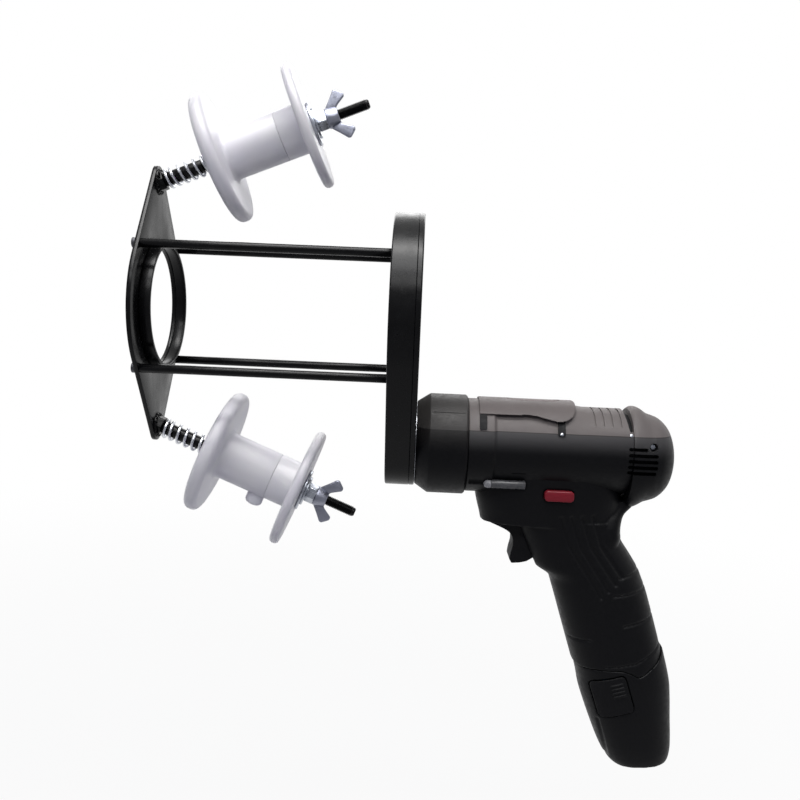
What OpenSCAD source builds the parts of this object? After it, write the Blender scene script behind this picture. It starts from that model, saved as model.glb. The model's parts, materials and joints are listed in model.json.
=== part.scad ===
// Pipe tape wrapping machine: a pistol driver turns a cage of rods that carries two tape spools round a pipe.
// X runs from the front plate to the driver, Y away from the viewer and Z up; the pipe lies on the X axis.

/* [Wrapping head] */
// Radius of the passage for the pipe
bore_r = 33; // [30:0.5:33.5]
// Radius of the round middle of the front plate
plate_r = 48; // [47:0.5:54]
// Distance from the pipe axis to each tip of the front plate
plate_tip = 76.8; // [75:0.2:84]
// Radius of each tip of the front plate
tip_r = 8; // [7.5:0.5:9]
// Thickness of the front plate
plate_t = 2.5; // [2:0.25:3]
// Length of the guide collar behind the front plate
collar_len = 6; // [4:0.5:14]
// Free length of the cage between front plate and gear arm
cage_len = 131.5; // [120:0.5:170]
// Diameter of a tie rod
rod_d = 4.8; // [4.4:0.2:5]
// Sideways offset of the tie rods from the pipe axis
rod_y = 32; // [31.5:0.1:32.5]
// Upward offset of the tie rods from the pipe axis
rod_z = 32.8; // [32.4:0.1:33.2]

/* [Gear arm] */
// Teeth of the gear on the wrapping head
head_teeth = 68; // [68:1:70]
// Teeth of the pinion on the driver's spindle
pinion_teeth = 27; // [26:1:27]
// Module of the teeth in the arm
tooth_module = 1.5; // [1.5:0.05:1.6]
// Thickness of the gear arm with its cover
arm_t = 16.5; // [16.5:0.25:20]
// Radius of the arm's lower end
arm_low_r = 24.5; // [24:0.25:26]
// Balls in the head bearing
ball_count = 18; // [12:2:20]

/* [Spools] */
// Outward lean of the spool spindles, in degrees
spindle_tilt = 22; // [18:0.5:24]
// Distance of the spindles from the pipe axis at the front plate
spindle_z = 67.5; // [66:0.25:69]
// Diameter of the threaded spindles
stud_d = 6; // [5:0.5:6]
// Length of the spindles from the front plate
stud_len = 125; // [118:1:135]
// Distance from the front plate to the spool
spool_start = 34.5; // [32:0.5:36]
// Radius of the spool's inner flange
flange_r = 36; // [30:0.5:37]
// Radius of the spool's outer flange
cap_flange_r = 34.5; // [28:0.5:36]
// Thickness of the spool's inner flange
flange_t = 8; // [6:0.5:9]
// Thickness of the spool's outer flange
cap_flange_t = 5.5; // [4.5:0.5:7]
// Radius of the spool hub
hub_r = 13.6; // [12:0.2:18]
// Distance between the two flanges
hub_len = 44; // [42:1:48]
// Share of the hub that belongs to the inner flange
hub_split = 0.71; // [0.6:0.01:0.8]
// Wire diameter of the tension springs
wire_d = 1.8; // [1.4:0.1:2]
// Mean radius of the tension springs
coil_r = 5; // [5:0.1:5.6]
// Open turns of the tension springs
coil_turns = 5; // [4:1:6]

/* [Driver] */
// Radius of the nose collar
nose_r = 28.2; // [27.5:0.1:30]
// Radius of the motor housing
body_r = 24.2; // [24:0.1:25]
// Backward lean of the grip, in degrees
grip_tilt = 19; // [19:0.5:19.5]
// Roundness of the grip's sections, 2 for an ellipse
grip_round = 2.6; // [2.2:0.1:3]
// Travel of the trigger
trigger_travel = 6; // [4:0.5:7]
// Diameter of a battery cell
cell_d = 18; // [17:0.25:18]

/* [Hidden] */
$fn = 72;
fit = 0.02;
run_fit = 0.06;
front_x = plate_t + cage_len;
rear_x = front_x + arm_t;
wall_t = 3;
drive_z = -tooth_module * (head_teeth + pinion_teeth) / 2;
head_tip = tooth_module * (head_teeth / 2 + 1);
pinion_tip = tooth_module * (pinion_teeth / 2 + 1);
arm_r = head_tip + 4.1;
cover_x = rear_x - wall_t;
gear_x = front_x + 4;
gear_end = cover_x - 0.7;
race_in = bore_r + 2;
race_out = race_in + 10;
ball_r = 2.5;
ball_ring = (race_in + race_out) / 2;
rotor_r = head_tip - 2.9;
cap_seam = spool_start + flange_t + hub_len * hub_split;
cap_start = spool_start + flange_t + hub_len;
spool_end = cap_start + cap_flange_t;
weld_nut_t = 4.6;
spring_seat = weld_nut_t + 0.2;
guide_d = 2 * coil_r - wire_d - 0.8;
guide_end = spool_start - 7;
lug_r = 5;
nut_start = spool_end + 3.1;
wing_start = nut_start + 5.2;
stage_module = 0.8;
sun_teeth = 12;
planet_teeth = 18;
ring_teeth = 48;
planet_orbit = stage_module * (sun_teeth + planet_teeth) / 2;
arc_steps = 20;
row_steps = 3;
nose_len = 28.5;
ring_r = 26.4;
ring_end = 44;
case_r = 22.6;
case_len = 38;
motor_r = 18.4;
saddle_r = body_r + 0.6;
saddle_top = 27.6;
body_end = 118.2;
cap_x = body_end + 0.2;
rib_x = 97.1;
rib_step = 4.7;
rib_w = 1;
cap_drop = 2.9;
cap_half = body_r + 0.6;
cap_seat_r = 21;
grip_mid = 124.6;
grip_foot = -128;
trigger_w = 8.3;
switch_x = 74 + trigger_travel;
button_x = 71.8;
button_z = -25.9;
button_len = 16;
button_h = 5.8;
button_r = 2;
light_y = 20.2;
light_z = -18;
light_r = 2.4;
latch_out = 0.6;
latch_back = -0.7;
latch_floor = -2.9;
joint_gap = 0.2;
bay_top = 52;
bay_x = 1;
cell_low = -20;
groove_w = 1.7;
groove_deep = 0.7;
cover_screw_spots = [[34, -46], [27, -57], [-34, -46], [-27, -57]];
rod_spots = [[-rod_y, rod_z], [-rod_y, -rod_z], [rod_y, rod_z], [rod_y, -rod_z]];

// Solids along the pipe or driver axis
module bar_x(x0, x1, r) translate([x0, 0, 0]) rotate([0, 90, 0]) cylinder(r = r, h = x1 - x0);

module tube_x(x0, x1, outer, inner) {
    difference() {
        bar_x(x0, x1, outer);
        bar_x(x0 - 1, x1 + 1, inner);
    }
}

// A revolved profile of [radius, x] points
module turned_x() rotate([0, 90, 0]) rotate_extrude() children();

// An outline of [y, z] points made into a plate
module plate_x(x0, x1) translate([x0, 0, 0]) rotate([90, 0, 90]) linear_extrude(x1 - x0) children();

// An outline of [x, z] points made as wide as y0 to y1
module slab_y(y0, y1) translate([0, y1, 0]) rotate([90, 0, 0]) linear_extrude(y1 - y0) children();

// A smooth curve through points, with n steps between each two
function curve(p, n) =
    concat(
        [for (k = [0:len(p) - 2]) for (j = [0:n - 1])
            let (a = p[max(k - 1, 0)], b = p[k], c = p[k + 1], d = p[min(k + 2, len(p) - 1)], t = j / n)
            b + (c - a) * t / 2 + (2 * a - 5 * b + 4 * c - d) * t * t / 2
                + (3 * b - a - 3 * c + d) * t * t * t / 2],
        [p[len(p) - 1]]
    );

// A band of even width along a line of points, with round ends
function aside(p, k) =
    let (d = p[min(k + 1, len(p) - 1)] - p[max(k - 1, 0)]) [-d[1], d[0]] / norm(d);
module band(p, w) {
    last = len(p) - 1;
    polygon(concat(
        [for (k = [0:last]) p[k] + aside(p, k) * w / 2], [for (k = [last:-1:0]) p[k] - aside(p, k) * w / 2]
    ));
    for (end = [p[0], p[last]]) translate(end) circle(w / 2, $fn = 16);
}

// A rectangle with round corners
module rounded(x0, x1, y0, y1, r) {
    translate([x0 + r, y0]) square([x1 - x0 - 2 * r, y1 - y0]);
    translate([x0, y0 + r]) square([x1 - x0, y1 - y0 - 2 * r]);
    for (x = [x0 + r, x1 - r]) for (y = [y0 + r, y1 - r]) translate([x, y]) circle(r, $fn = 32);
}

// Places on the driver: x from the arm's rear face, z from the driver's axis
module on_driver() translate([rear_x, 0, drive_z]) children();

// Places on a spool spindle: z along the spindle from the middle of the front plate
module on_spindle(up) {
    translate([plate_t / 2, 0, up ? spindle_z : -spindle_z])
        rotate([0, up ? 90 - spindle_tilt : 90 + spindle_tilt, 0]) children();
}

// Two circles joined by their tangents, the second one below the first
module belt_outline(big, small, drop) {
    lean = asin((big - small) / drop);
    circle(big);
    translate([0, -drop]) circle(small);
    polygon([
        [big * cos(lean), -big * sin(lean)], [small * cos(lean), -drop - small * sin(lean)],
        [-small * cos(lean), -drop - small * sin(lean)], [-big * cos(lean), -big * sin(lean)]
    ]);
}

// Involute teeth: half the angle of a tooth at radius r, and the whole outline
function involute(ratio) = let (a = acos(min(1, ratio))) tan(a) * 180 / PI - a;
function half_tooth(n, m, r, play) =
    90 / n - play * 90 / PI / (m * n / 2) + involute(cos(20)) - involute(m * n / 2 * cos(20) / r);
function tooth_points(n, m, tip, root, play) =
    let (start = max(m * n / 2 * cos(20), root + 0.05 * m), mid = (start + tip) / 2)
    let (side = [for (r = [start, mid, tip]) [r, half_tooth(n, m, r, play)]])
    let (rise = [for (p = side) [p[0], -p[1]]], fall = [for (k = [2:-1:0]) side[k]])
    concat([[root, -side[0][1]]], rise, fall, [[root, side[0][1]]]);
function gear_points(n, m, tip, root, play, turn) =
    [for (i = [0:n - 1]) for (p = tooth_points(n, m, tip, root, play))
        p[0] * [cos(turn + 360 * i / n + p[1]), sin(turn + 360 * i / n + p[1])]];

module gear_outline(n, m, add, turn) {
    polygon(gear_points(n, m, m * (n / 2 + add), m * (n / 2 - 1.2), 0.22, turn));
}

// Wrapping head
module front_plate() {
    color("#1b1b1d")
        difference() {
            plate_x(0, plate_t) {
                belt_outline(plate_r, tip_r, plate_tip - tip_r);
                mirror([0, 1]) belt_outline(plate_r, tip_r, plate_tip - tip_r);
            }
            bar_x(-1, plate_t + 1, bore_r);
            for (s = rod_spots) translate([0, s[0], s[1]]) bar_x(-1, plate_t + 1, 1.6);
            for (up = [true, false])
                on_spindle(up) translate([0, 0, -6]) cylinder(d = stud_d + 2 * fit, h = 12);
        }
}

module guide_collar() {
    color("#1b1b1d") tube_x(plate_t, plate_t + collar_len, bore_r + 2, bore_r);
}

module tie_rod(spot) {
    color("#161617")
        translate([0, spot[0], spot[1]])
            difference() {
                union() {
                    bar_x(plate_t, front_x + 0.5, rod_d / 2);
                    bar_x(plate_t, gear_x, 2);
                }
                bar_x(plate_t - 1, plate_t + 9, 1.5 + fit);
            }
}

module rod_screws() {
    color("#2a2a2c")
        for (s = rod_spots)
            translate([0, s[0], s[1]])
                difference() {
                    union() {
                        bar_x(-1.8, 0, 2.75);
                        bar_x(-1, plate_t + 8, 1.5);
                    }
                    bar_x(-3, -0.7, 1.45, $fn = 6);
                }
}

module rotor_plate() {
    color("#2b2c2f")
        difference() {
            tube_x(front_x + 0.5, gear_x, rotor_r, race_in + 4);
            for (s = rod_spots) translate([0, s[0], s[1]]) bar_x(front_x, gear_x + 1, 2 + fit);
        }
}

module head_gear() {
    color("#6f7278")
        plate_x(gear_x, gear_end)
            difference() {
                gear_outline(head_teeth, tooth_module, 1, -90);
                circle(race_out + fit);
            }
}

module race(inner, outer) {
    color("#b9bcc2")
        turned_x()
            difference() {
                translate([inner, gear_x]) square([outer - inner, gear_end - gear_x]);
                translate([ball_ring, (gear_x + gear_end) / 2]) circle(ball_r + run_fit);
            }
}

module bearing_outer() race(race_out - 3.5, race_out);
module bearing_inner() race(race_in + fit, race_in + 3.5);

module bearing_balls() {
    color("#d7d9dc")
        translate([(gear_x + gear_end) / 2, 0, 0]) {
            for (i = [0:ball_count - 1])
                rotate([i * 360 / ball_count, 0, 0]) translate([0, ball_ring, 0]) sphere(ball_r);
            tube_x(-1, 1, ball_ring + 0.8, ball_ring - 0.8);
        }
}

module hub_tube() {
    color("#55585e") {
        tube_x(front_x + 1.5, rear_x, race_in, bore_r);
        tube_x(gear_end + 0.1, cover_x, race_in + 3, bore_r);
    }
}

module retaining_ring() {
    color("#8c9096") tube_x(gear_x - 1.3, gear_x - 0.1, race_in + 2, race_in + fit);
}

module arm_outline() belt_outline(arm_r, arm_low_r, -drive_z);

module arm_housing() {
    color("#141416")
        difference() {
            plate_x(front_x, cover_x) arm_outline();
            bar_x(front_x - 1, rear_x, rotor_r + 0.7);
            bar_x(front_x + wall_t, rear_x, head_tip + 0.9);
            translate([0, 0, drive_z]) bar_x(front_x + wall_t, rear_x, pinion_tip + 0.7);
            translate([0, 0, drive_z]) bar_x(front_x + 1.2, rear_x, 8 + fit);
            for (s = cover_screw_spots) translate([0, s[0], s[1]]) bar_x(cover_x - 8, rear_x, 1.5 + fit);
        }
}

module arm_cover() {
    color("#18181a")
        difference() {
            plate_x(cover_x, rear_x) arm_outline();
            bar_x(cover_x - 1, rear_x + 1, race_in + fit);
            translate([0, 0, drive_z]) bar_x(cover_x - 1, rear_x + 1, 11);
            for (s = cover_screw_spots)
                translate([0, s[0], s[1]]) {
                    bar_x(cover_x - 1, rear_x + 1, 1.5 + fit);
                    bar_x(rear_x - 1.6, rear_x + 1, 2.8);
                }
        }
}

module cover_screws() {
    color("#3a3b3e")
        for (s = cover_screw_spots)
            translate([0, s[0], s[1]])
                difference() {
                    union() {
                        bar_x(rear_x - 1.6, rear_x - 0.1, 2.75);
                        bar_x(cover_x - 7, rear_x - 1, 1.5);
                    }
                    bar_x(rear_x - 1.1, rear_x + 1, 1.45, $fn = 6);
                }
}

module drive_pinion() {
    color("#777b82")
        translate([0, 0, drive_z])
            plate_x(gear_x + 0.6, gear_end - 0.4)
                difference() {
                    gear_outline(pinion_teeth, tooth_module, 1, 90 + 180 / pinion_teeth);
                    circle(5 + fit);
                }
}

module output_spindle() {
    color("#8d9198")
        translate([0, 0, drive_z]) {
            bar_x(front_x + 1.7, rear_x + 14, 5);
            bar_x(rear_x + 13, rear_x + 17, 16.5);
            for (i = [0:2])
                rotate([i * 120, 0, 0]) translate([0, planet_orbit, 0]) bar_x(rear_x + 16, rear_x + 28, 2.5);
        }
}

module bush(x0, x1) {
    color("#b8894a") translate([0, 0, drive_z]) tube_x(x0, x1, 8, 5 + run_fit);
}

module front_bush() bush(front_x + 1.2, gear_x + 0.3);
module rear_bush() bush(rear_x + 1, rear_x + 9);

// Spool spindles, thicker inside the springs, and what they carry
module stud(up) {
    color("#131314")
        difference() {
            on_spindle(up) {
                translate([0, 0, -5]) cylinder(d = stud_d, h = stud_len + 4.4);
                translate([0, 0, stud_len - 0.6]) cylinder(d1 = stud_d, d2 = stud_d - 1.2, h = 0.6);
                translate([0, 0, weld_nut_t + 0.1]) cylinder(d = guide_d, h = guide_end - weld_nut_t - 0.1);
            }
            translate([-50, -50, -150]) cube([50, 100, 300]);
        }
}

module weld_nut(up) {
    color("#18181a")
        difference() {
            on_spindle(up) cylinder(r = 5.77, h = weld_nut_t, $fn = 6);
            on_spindle(up) translate([0, 0, -1]) cylinder(d = stud_d + 2 * fit, h = 9);
            translate([plate_t - 50, -50, -150]) cube([50, 100, 300]);
        }
}

// Spring: a helix with a closed turn at each end and straight wire ends
spring_start = spring_seat + wire_d / 2;
spring_end = spool_start - 0.2 - wire_d / 2;
end_pitch = wire_d + 0.5;
open_pitch = (spring_end - spring_start - 2 * end_pitch) / coil_turns;
curls = coil_turns + 2;
function spring_rise(t) =
    end_pitch * (min(t, 1) + max(0, t - 1 - coil_turns)) + open_pitch * max(0, min(t - 1, coil_turns));
function spring_point(t) = [coil_r * cos(360 * t), coil_r * sin(360 * t), spring_start + spring_rise(t)];
function spring_line() =
    let (body = [for (k = [0:8 * curls]) spring_point(k / 8)])
    let (first = body[0] - body[1], last = body[8 * curls] - body[8 * curls - 1])
    concat([body[0] + first * wire_d / norm(first)], body, [body[8 * curls] + last * wire_d / norm(last)]);
function ring_of(p, dir, r) =
    let (d = dir / norm(dir), side = [p[0], p[1], 0] / norm([p[0], p[1], 0]))
    let (u = (side - d * (side * d)) / norm(side - d * (side * d)), v = cross(d, u))
    [for (i = [0:5]) p + r * (cos(60 * i) * u + sin(60 * i) * v)];
function spring_gap() =
    min([for (i = [0:8 * curls - 6]) for (j = [i + 6:8 * curls])
        norm(spring_point(i / 8) - spring_point(j / 8))]) - wire_d;
echo(least_gap_between_spring_turns = spring_gap());

// A face of a later ring of points
function shifted(face, by) = [for (v = face) v + by];

module spring_form() {
    line = spring_line();
    n = len(line);
    rings = [for (k = [0:n - 1]) ring_of(line[k], line[min(k + 1, n - 1)] - line[max(k - 1, 0)], wire_d / 2)];
    sides = [for (k = [0:n - 2]) for (i = [0:5]) for (half = [0, 1])
        let (a = 6 * k + i, b = 6 * k + (i + 1) % 6)
        half == 0 ? [a, a + 6, b] : [b, a + 6, b + 6]];
    caps = concat([for (i = [1:4]) [0, i, i + 1]], [for (i = [1:4]) shifted([0, i + 1, i], 6 * (n - 1))]);
    polyhedron([for (r = rings) each r], concat(sides, caps));
}

module spring(up) color("#c9ccd1") on_spindle(up) spring_form();

module flange(start, r, t) {
    translate([0, start]) square([r - t / 2, t]);
    translate([r - t / 2, start + t / 2]) circle(t / 2);
}

// The inner half of the spool, with a lug that keys the tape's core
module spool_body(up, lug_turn) {
    bore = stud_d / 2 + run_fit;
    color("#eeeef2")
        on_spindle(up) rotate([0, 0, lug_turn])
            difference() {
                union() {
                    rotate_extrude() {
                        flange(spool_start, flange_r, flange_t);
                        translate([0, spool_start + 1]) square([hub_r, cap_seam - spool_start - 1]);
                        translate([0, spool_start + 1]) square([9, cap_seam - spool_start + 5]);
                    }
                    translate([hub_r - 6, 0, cap_seam - lug_r])
                        rotate([0, 90, 0]) cylinder(r = lug_r, h = 12);
                }
                translate([0, 0, spool_start - 1]) cylinder(r = bore, h = cap_start);
            }
}

module spool_cap(up) {
    bore = stud_d / 2 + run_fit;
    color("#eeeef2")
        on_spindle(up)
            difference() {
                rotate_extrude() {
                    flange(cap_start, cap_flange_r, cap_flange_t);
                    translate([0, cap_seam]) square([hub_r, cap_start - cap_seam + 1]);
                }
                translate([0, 0, cap_seam - 1]) cylinder(r = 9 + fit, h = 7.2);
                translate([0, 0, cap_seam - 1]) cylinder(r = bore, h = 60);
            }
}

module washer(up, start, r, t) {
    color("#c3c7cd")
        on_spindle(up) translate([0, 0, start])
            difference() {
                cylinder(r = r, h = t);
                translate([0, 0, -1]) cylinder(r = stud_d / 2 + 0.2, h = t + 2);
            }
}

module wide_washer(up) washer(up, spool_end + 0.1, 12, 1.6);
module small_washer(up) washer(up, spool_end + 1.7, 8.5, 1.3);

module hex_nut(up) {
    color("#c3c7cd")
        on_spindle(up) translate([0, 0, nut_start])
            difference() {
                intersection() {
                    rotate([0, 0, 15]) cylinder(r = 5.77, h = 5.2, $fn = 6);
                    rotate_extrude()
                        polygon([[0, 0], [5, 0], [5.9, 0.5], [5.9, 4.7], [5, 5.2], [0, 5.2]]);
                }
                translate([0, 0, -1]) cylinder(r = stud_d / 2 + run_fit, h = 8);
            }
}

// Wing nut: a coned boss with two raked wings
module wing_nut(up, turn) {
    color("#b4b8c0")
        on_spindle(up) translate([0, 0, wing_start]) rotate([0, 0, turn])
            difference() {
                union() {
                    rotate_extrude() polygon([[0, 0], [5.6, 0], [5.6, 1.5], [4.4, 7], [0, 7]]);
                    for (s = [0, 1])
                        rotate([0, 0, 180 * s])
                            slab_y(-1.2, 1.2)
                                polygon(curve([
                                    [3.4, 0.6], [5.4, 0.8], [9.2, 4.4], [12.6, 7.4], [13.4, 8.8],
                                    [12.8, 10.4], [10.8, 12.6], [9.4, 12.9], [8, 11.6], [5, 7.6], [3.4, 6.2]
                                ], 3));
                }
                translate([0, 0, -1]) cylinder(r = stud_d / 2 + run_fit, h = 20);
            }
}

// Driver
module nose_collar() {
    color("#1c1c1e")
        on_driver()
            turned_x()
                polygon([
                    [case_r, 0.2], [23.4, 0.2], [nose_r - 0.8, 6.2], [nose_r, 7.5], [nose_r, nose_len - 1],
                    [nose_r - 1, nose_len], [case_r, nose_len]
                ]);
}

// Half of a moulded body on the -Y side: sections at heights, each with its front, rear and half width
function brow_sections() = [
    [-8, 41, 112, 19.3], [-18, 36.4, 116.4, 20.2], [-26, 35.2, 117.8, 20.3], [-32, 36.3, 118, 20],
    [-38, 38, 117.8, 19.3], [-42, 38.9, 117.3, 19]
];
function handle_sections() = [
    [-39, 59, 117.6, 19], [-43, 59.2, 117.2, 19], [-50, 62, 119.3, 19], [-58, 65.5, 124.8, 19.2],
    [-66, 70, 130, 19.6], [-72, 78.8, 132.7, 20], [-80, 82.3, 136, 20.3], [-104, 90.2, 143.8, 20.8],
    [grip_foot, 98.1, 151.1, 21.5]
];
function battery_sections() = [
    [-104, 91, 145, 20.8], [grip_foot, 98.9, 152.1, 21.5], [-140, 101.9, 153.9, 21.6],
    [-152, 106.3, 154.8, 21.7], [-164, 111.2, 155.8, 21.7], [-174, 115.9, 156, 21.2], [-180, 119, 153, 19.6],
    [-184.4, 124, 145, 16]
];
function latch_sections() = [for (k = [0:4]) battery_sections()[k]];
// The same sections grown by an even margin
function swollen(sections, by) = [for (s = sections) s + [0, -by, by, by]];
function section_point(s, k) =
    let (a = 180 * k / arc_steps, e = 2 / grip_round, c = cos(a))
    [(s[1] + s[2]) / 2 + (s[2] - s[1]) / 2 * sign(c) * pow(abs(c), e),
        k == 0 || k == arc_steps ? 0 : -s[3] * pow(sin(a), e), s[0]];

module half_loft(sections) {
    rows = curve(sections, row_steps);
    m = len(rows) - 1;
    w = arc_steps + 1;
    points = [for (s = rows) for (k = [0:arc_steps]) section_point(s, k)];
    sides = [for (i = [0:m - 1]) for (k = [0:arc_steps - 1]) for (half = [0, 1])
        let (a = w * i + k)
        half == 0 ? [a, a + w, a + 1] : [a + 1, a + w, a + w + 1]];
    flat = [for (i = [0:m - 1]) for (half = [0, 1])
        let (a = w * i)
        half == 0 ? [a, a + arc_steps, a + w] : [a + arc_steps, a + w + arc_steps, a + w]];
    top = [for (k = [1:arc_steps - 1]) [0, k, k + 1]];
    foot = [for (k = [1:arc_steps - 1]) shifted([0, k + 1, k], w * m)];
    polyhedron(points, concat(sides, flat, top, foot));
}

// Places along the grip, measured from the middle of its foot
module along_grip() translate([grip_mid, 0, grip_foot]) rotate([0, -grip_tilt, 0]) children();

// Bar with rounded corners along the grip
module grip_bar(depth, width, corner, low, high) {
    along_grip()
        translate([bay_x, 0, low])
            linear_extrude(high - low) {
                square([2 * (depth - corner), 2 * width], center = true);
                square([2 * depth, 2 * (width - corner)], center = true);
                for (a = [-1, 1]) for (b = [-1, 1])
                    translate([a * (depth - corner), b * (width - corner)]) circle(corner);
            }
}

// The waved joint between grip and battery, and the space above or below it
function joint_line() =
    concat(
        [[60, -126]],
        curve([
            [95, -123.8], [107, -122.4], [122, -121.7], [127, -123.2], [131, -125.3], [134.5, -123.4],
            [142, -117.7], [147, -112]
        ], 3),
        [[175, -95]]
    );
module beside_joint(lift, far_z) {
    slab_y(-40, 40) polygon(concat([for (p = joint_line()) p + [0, lift]], [[175, far_z], [60, far_z]]));
}

// Finger grooves on the sides of the grip and creases round its rear
module grip_grooves() {
    difference() {
        union() {
            slab_y(-40, -6)
                for (k = [0:3])
                    band(curve([
                        [82 + 6 * k, -36 + 0.5 * k], [88 + 6 * k, -52], [107 + 3.8 * k, -80 + 3.8 * k]
                    ], 4), groove_w);
            slab_y(-40, 0) {
                band([[117, -69], [128, -66.5], [140, -64]], groove_w);
                band([[114, -79], [131, -76.5], [146, -72]], groove_w);
                band([[121, -96], [136, -92.5], [152, -88]], groove_w);
                band([[86, -107.7], [103, -105.7]], groove_w);
            }
        }
        half_loft(swollen(brow_sections(), -groove_deep));
        half_loft(swollen(handle_sections(), -groove_deep));
    }
}

// One half of the moulded housing: barrel and grip, with room for gears, motor, trigger and battery
module housing_half() {
    difference() {
        union() {
            rotate([0, 90, 0])
                rotate([0, 0, 180])
                    rotate_extrude(angle = 180)
                        polygon([
                            [0, nose_len + 0.2], [ring_r, nose_len + 0.2], [ring_r, ring_end - 1.5],
                            [saddle_r, ring_end], [saddle_r, 89], [body_r, 93], [body_r, body_end],
                            [0, body_end]
                        ]);
            half_loft(brow_sections());
            intersection() {
                half_loft(handle_sections());
                beside_joint(joint_gap / 2, 0);
            }
        }
        bar_x(nose_len - 1, case_len + 0.6, case_r);
        bar_x(30, body_end + 1, motor_r);
        bar_x(body_end - 5, body_end + 1, cap_seat_r + fit);
        translate([45, -trigger_w - 0.7, -67]) cube([switch_x - 45, 20, 25.2]);
        translate([switch_x - 4, -13, -67]) cube([30, 30, 27]);
        grip_bar(20.2, 18.8, 11.6, -20, bay_top);
        slab_y(-40, 40)
            rounded(button_x - 0.1, button_x + button_len + 0.1, button_z - 0.1, button_z + button_h + 0.1,
                button_r + 0.1);
        grip_grooves();
        intersection() {
            for (k = [0:3])
                translate([rib_x + rib_step * k, 0, 0]) tube_x(0, rib_w, body_r + 2, body_r - 0.7);
            translate([90, -40, 16]) cube([30, 80, 30]);
        }
        slab_y(-40, 40)
            polygon([[114.6, 30], [120, 30], [120, 14.7], [117.1, 13], [116, 14.6], [114.6, 22.7]]);
    }
}

module housing_left() {
    color("#202022")
        on_driver()
            difference() {
                housing_half();
                translate([0, -light_y, light_z]) {
                    bar_x(30, 61, light_r + fit);
                    translate([30, -6, -light_r]) cube([31, 6, 2 * light_r]);
                }
            }
}

module housing_right() color("#202022") on_driver() mirror([0, 1, 0]) housing_half();

// Saddle over the front of the barrel: a bulged lower edge, a shallow finger slot and clip legs at its ends
module top_cover() {
    color("#4a4746")
        on_driver() {
            difference() {
                intersection() {
                    turned_x()
                        polygon([
                            [saddle_r + fit, ring_end + 0.2], [saddle_r + fit, 88], [saddle_top, 88],
                            [saddle_top, 34], [ring_r + fit, 34], [ring_r + fit, ring_end + 0.2]
                        ]);
                    slab_y(-40, 40)
                        polygon(concat(
                            curve([
                                [34.2, 20], [50, 20.2], [63, 20.4], [70, 19.1], [76.5, 17.9], [82, 18.5],
                                [86, 21.6], [87.6, 25.2]
                            ], 3),
                            [[87.6, 31], [34.2, 31]]
                        ));
                }
                translate([0, 0, saddle_top - 0.9]) linear_extrude(5) rounded(50, 80, -5, 5, 4.9);
            }
            intersection() {
                tube_x(77, 81, saddle_r + 0.9, saddle_r + run_fit);
                translate([70, -40, 10.6]) cube([20, 80, 8.4]);
            }
            intersection() {
                tube_x(34.4, 38.4, ring_r + 0.8, ring_r + run_fit);
                translate([30, -40, 12.4]) cube([20, 80, 8]);
            }
        }
}

// Rear cap: a dome flared above and below, with cooling slots on both sides and a spigot in the barrel
module rear_cap() {
    color("#1b1b1d")
        on_driver() {
            difference() {
                intersection() {
                    translate([0, 0, -cap_drop])
                        turned_x()
                            polygon(concat(
                                curve([
                                    [27.4, cap_x], [28.7, 120], [28.8, 122.5], [27.6, 125.5], [25.4, 129],
                                    [24.2, 133], [22.9, 136.5], [20.4, 140], [16.8, 143], [11, 145.4],
                                    [4, 146.3], [0, 146.4]
                                ], 2),
                                [[0, 143.5], [10, 142.6], [17, 139], [20.8, 134], [22, 129]],
                                [[22, cap_x + 2], [17.5, cap_x + 2], [17.5, cap_x]]
                            ));
                    translate([cap_x - 1, -cap_half, -50]) cube([50, 2 * cap_half, 100]);
                }
                slab_y(-40, 40) for (k = [0:4]) rounded(120.4, 132, 2.4 - 3.2 * k, 4.4 - 3.2 * k, 0.9);
            }
            tube_x(body_end - 4.8, cap_x + 1, cap_seat_r, motor_r + 0.3);
        }
}

// Gear case with the internal teeth of the planet stage
module gear_case() {
    color("#5d6066")
        on_driver()
            difference() {
                bar_x(0, case_len, case_r - fit);
                bar_x(-1, 10, 8 + fit);
                bar_x(9, 18.4, 18.8);
                bar_x(28, case_len + 1, 20.8);
                plate_x(18, 28.5)
                    polygon(gear_points(ring_teeth, stage_module, stage_module * (ring_teeth / 2 + 1.2),
                        stage_module * (ring_teeth / 2 - 0.8), -0.22, 180 / ring_teeth));
            }
}

module planet(i) {
    color("#9a9ea5")
        on_driver() rotate([i * 120, 0, 0]) translate([0, planet_orbit, 0])
            plate_x(18.5, 27.5)
                difference() {
                    gear_outline(planet_teeth, stage_module, 0.8, 180 / planet_teeth);
                    circle(2.5 + run_fit);
                }
}

module motor_can() {
    color("#82868d")
        on_driver()
            difference() {
                bar_x(case_len + 1, 100, motor_r - fit);
                bar_x(case_len + 3, 98, motor_r - 1.6);
                bar_x(case_len, 101, 2.5 + run_fit);
            }
}

// Armature with sun pinion, core, commutator and fan
module armature() {
    color("#9c6a3c")
        on_driver() {
            plate_x(19, 28) gear_outline(sun_teeth, stage_module, 0.8, 0);
            bar_x(27, 111, 2.5);
            bar_x(48, 84, 14.5);
            bar_x(88, 95, 6);
            bar_x(103, 108, 15);
        }
}

module switch_body() {
    color("#2c2c2f")
        on_driver()
            difference() {
                translate([switch_x, -13 + fit, -65]) cube([24, 26 - 2 * fit, 22]);
                translate([0, 0, -54]) bar_x(switch_x - 1, switch_x + 16, 2.5);
            }
}

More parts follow.
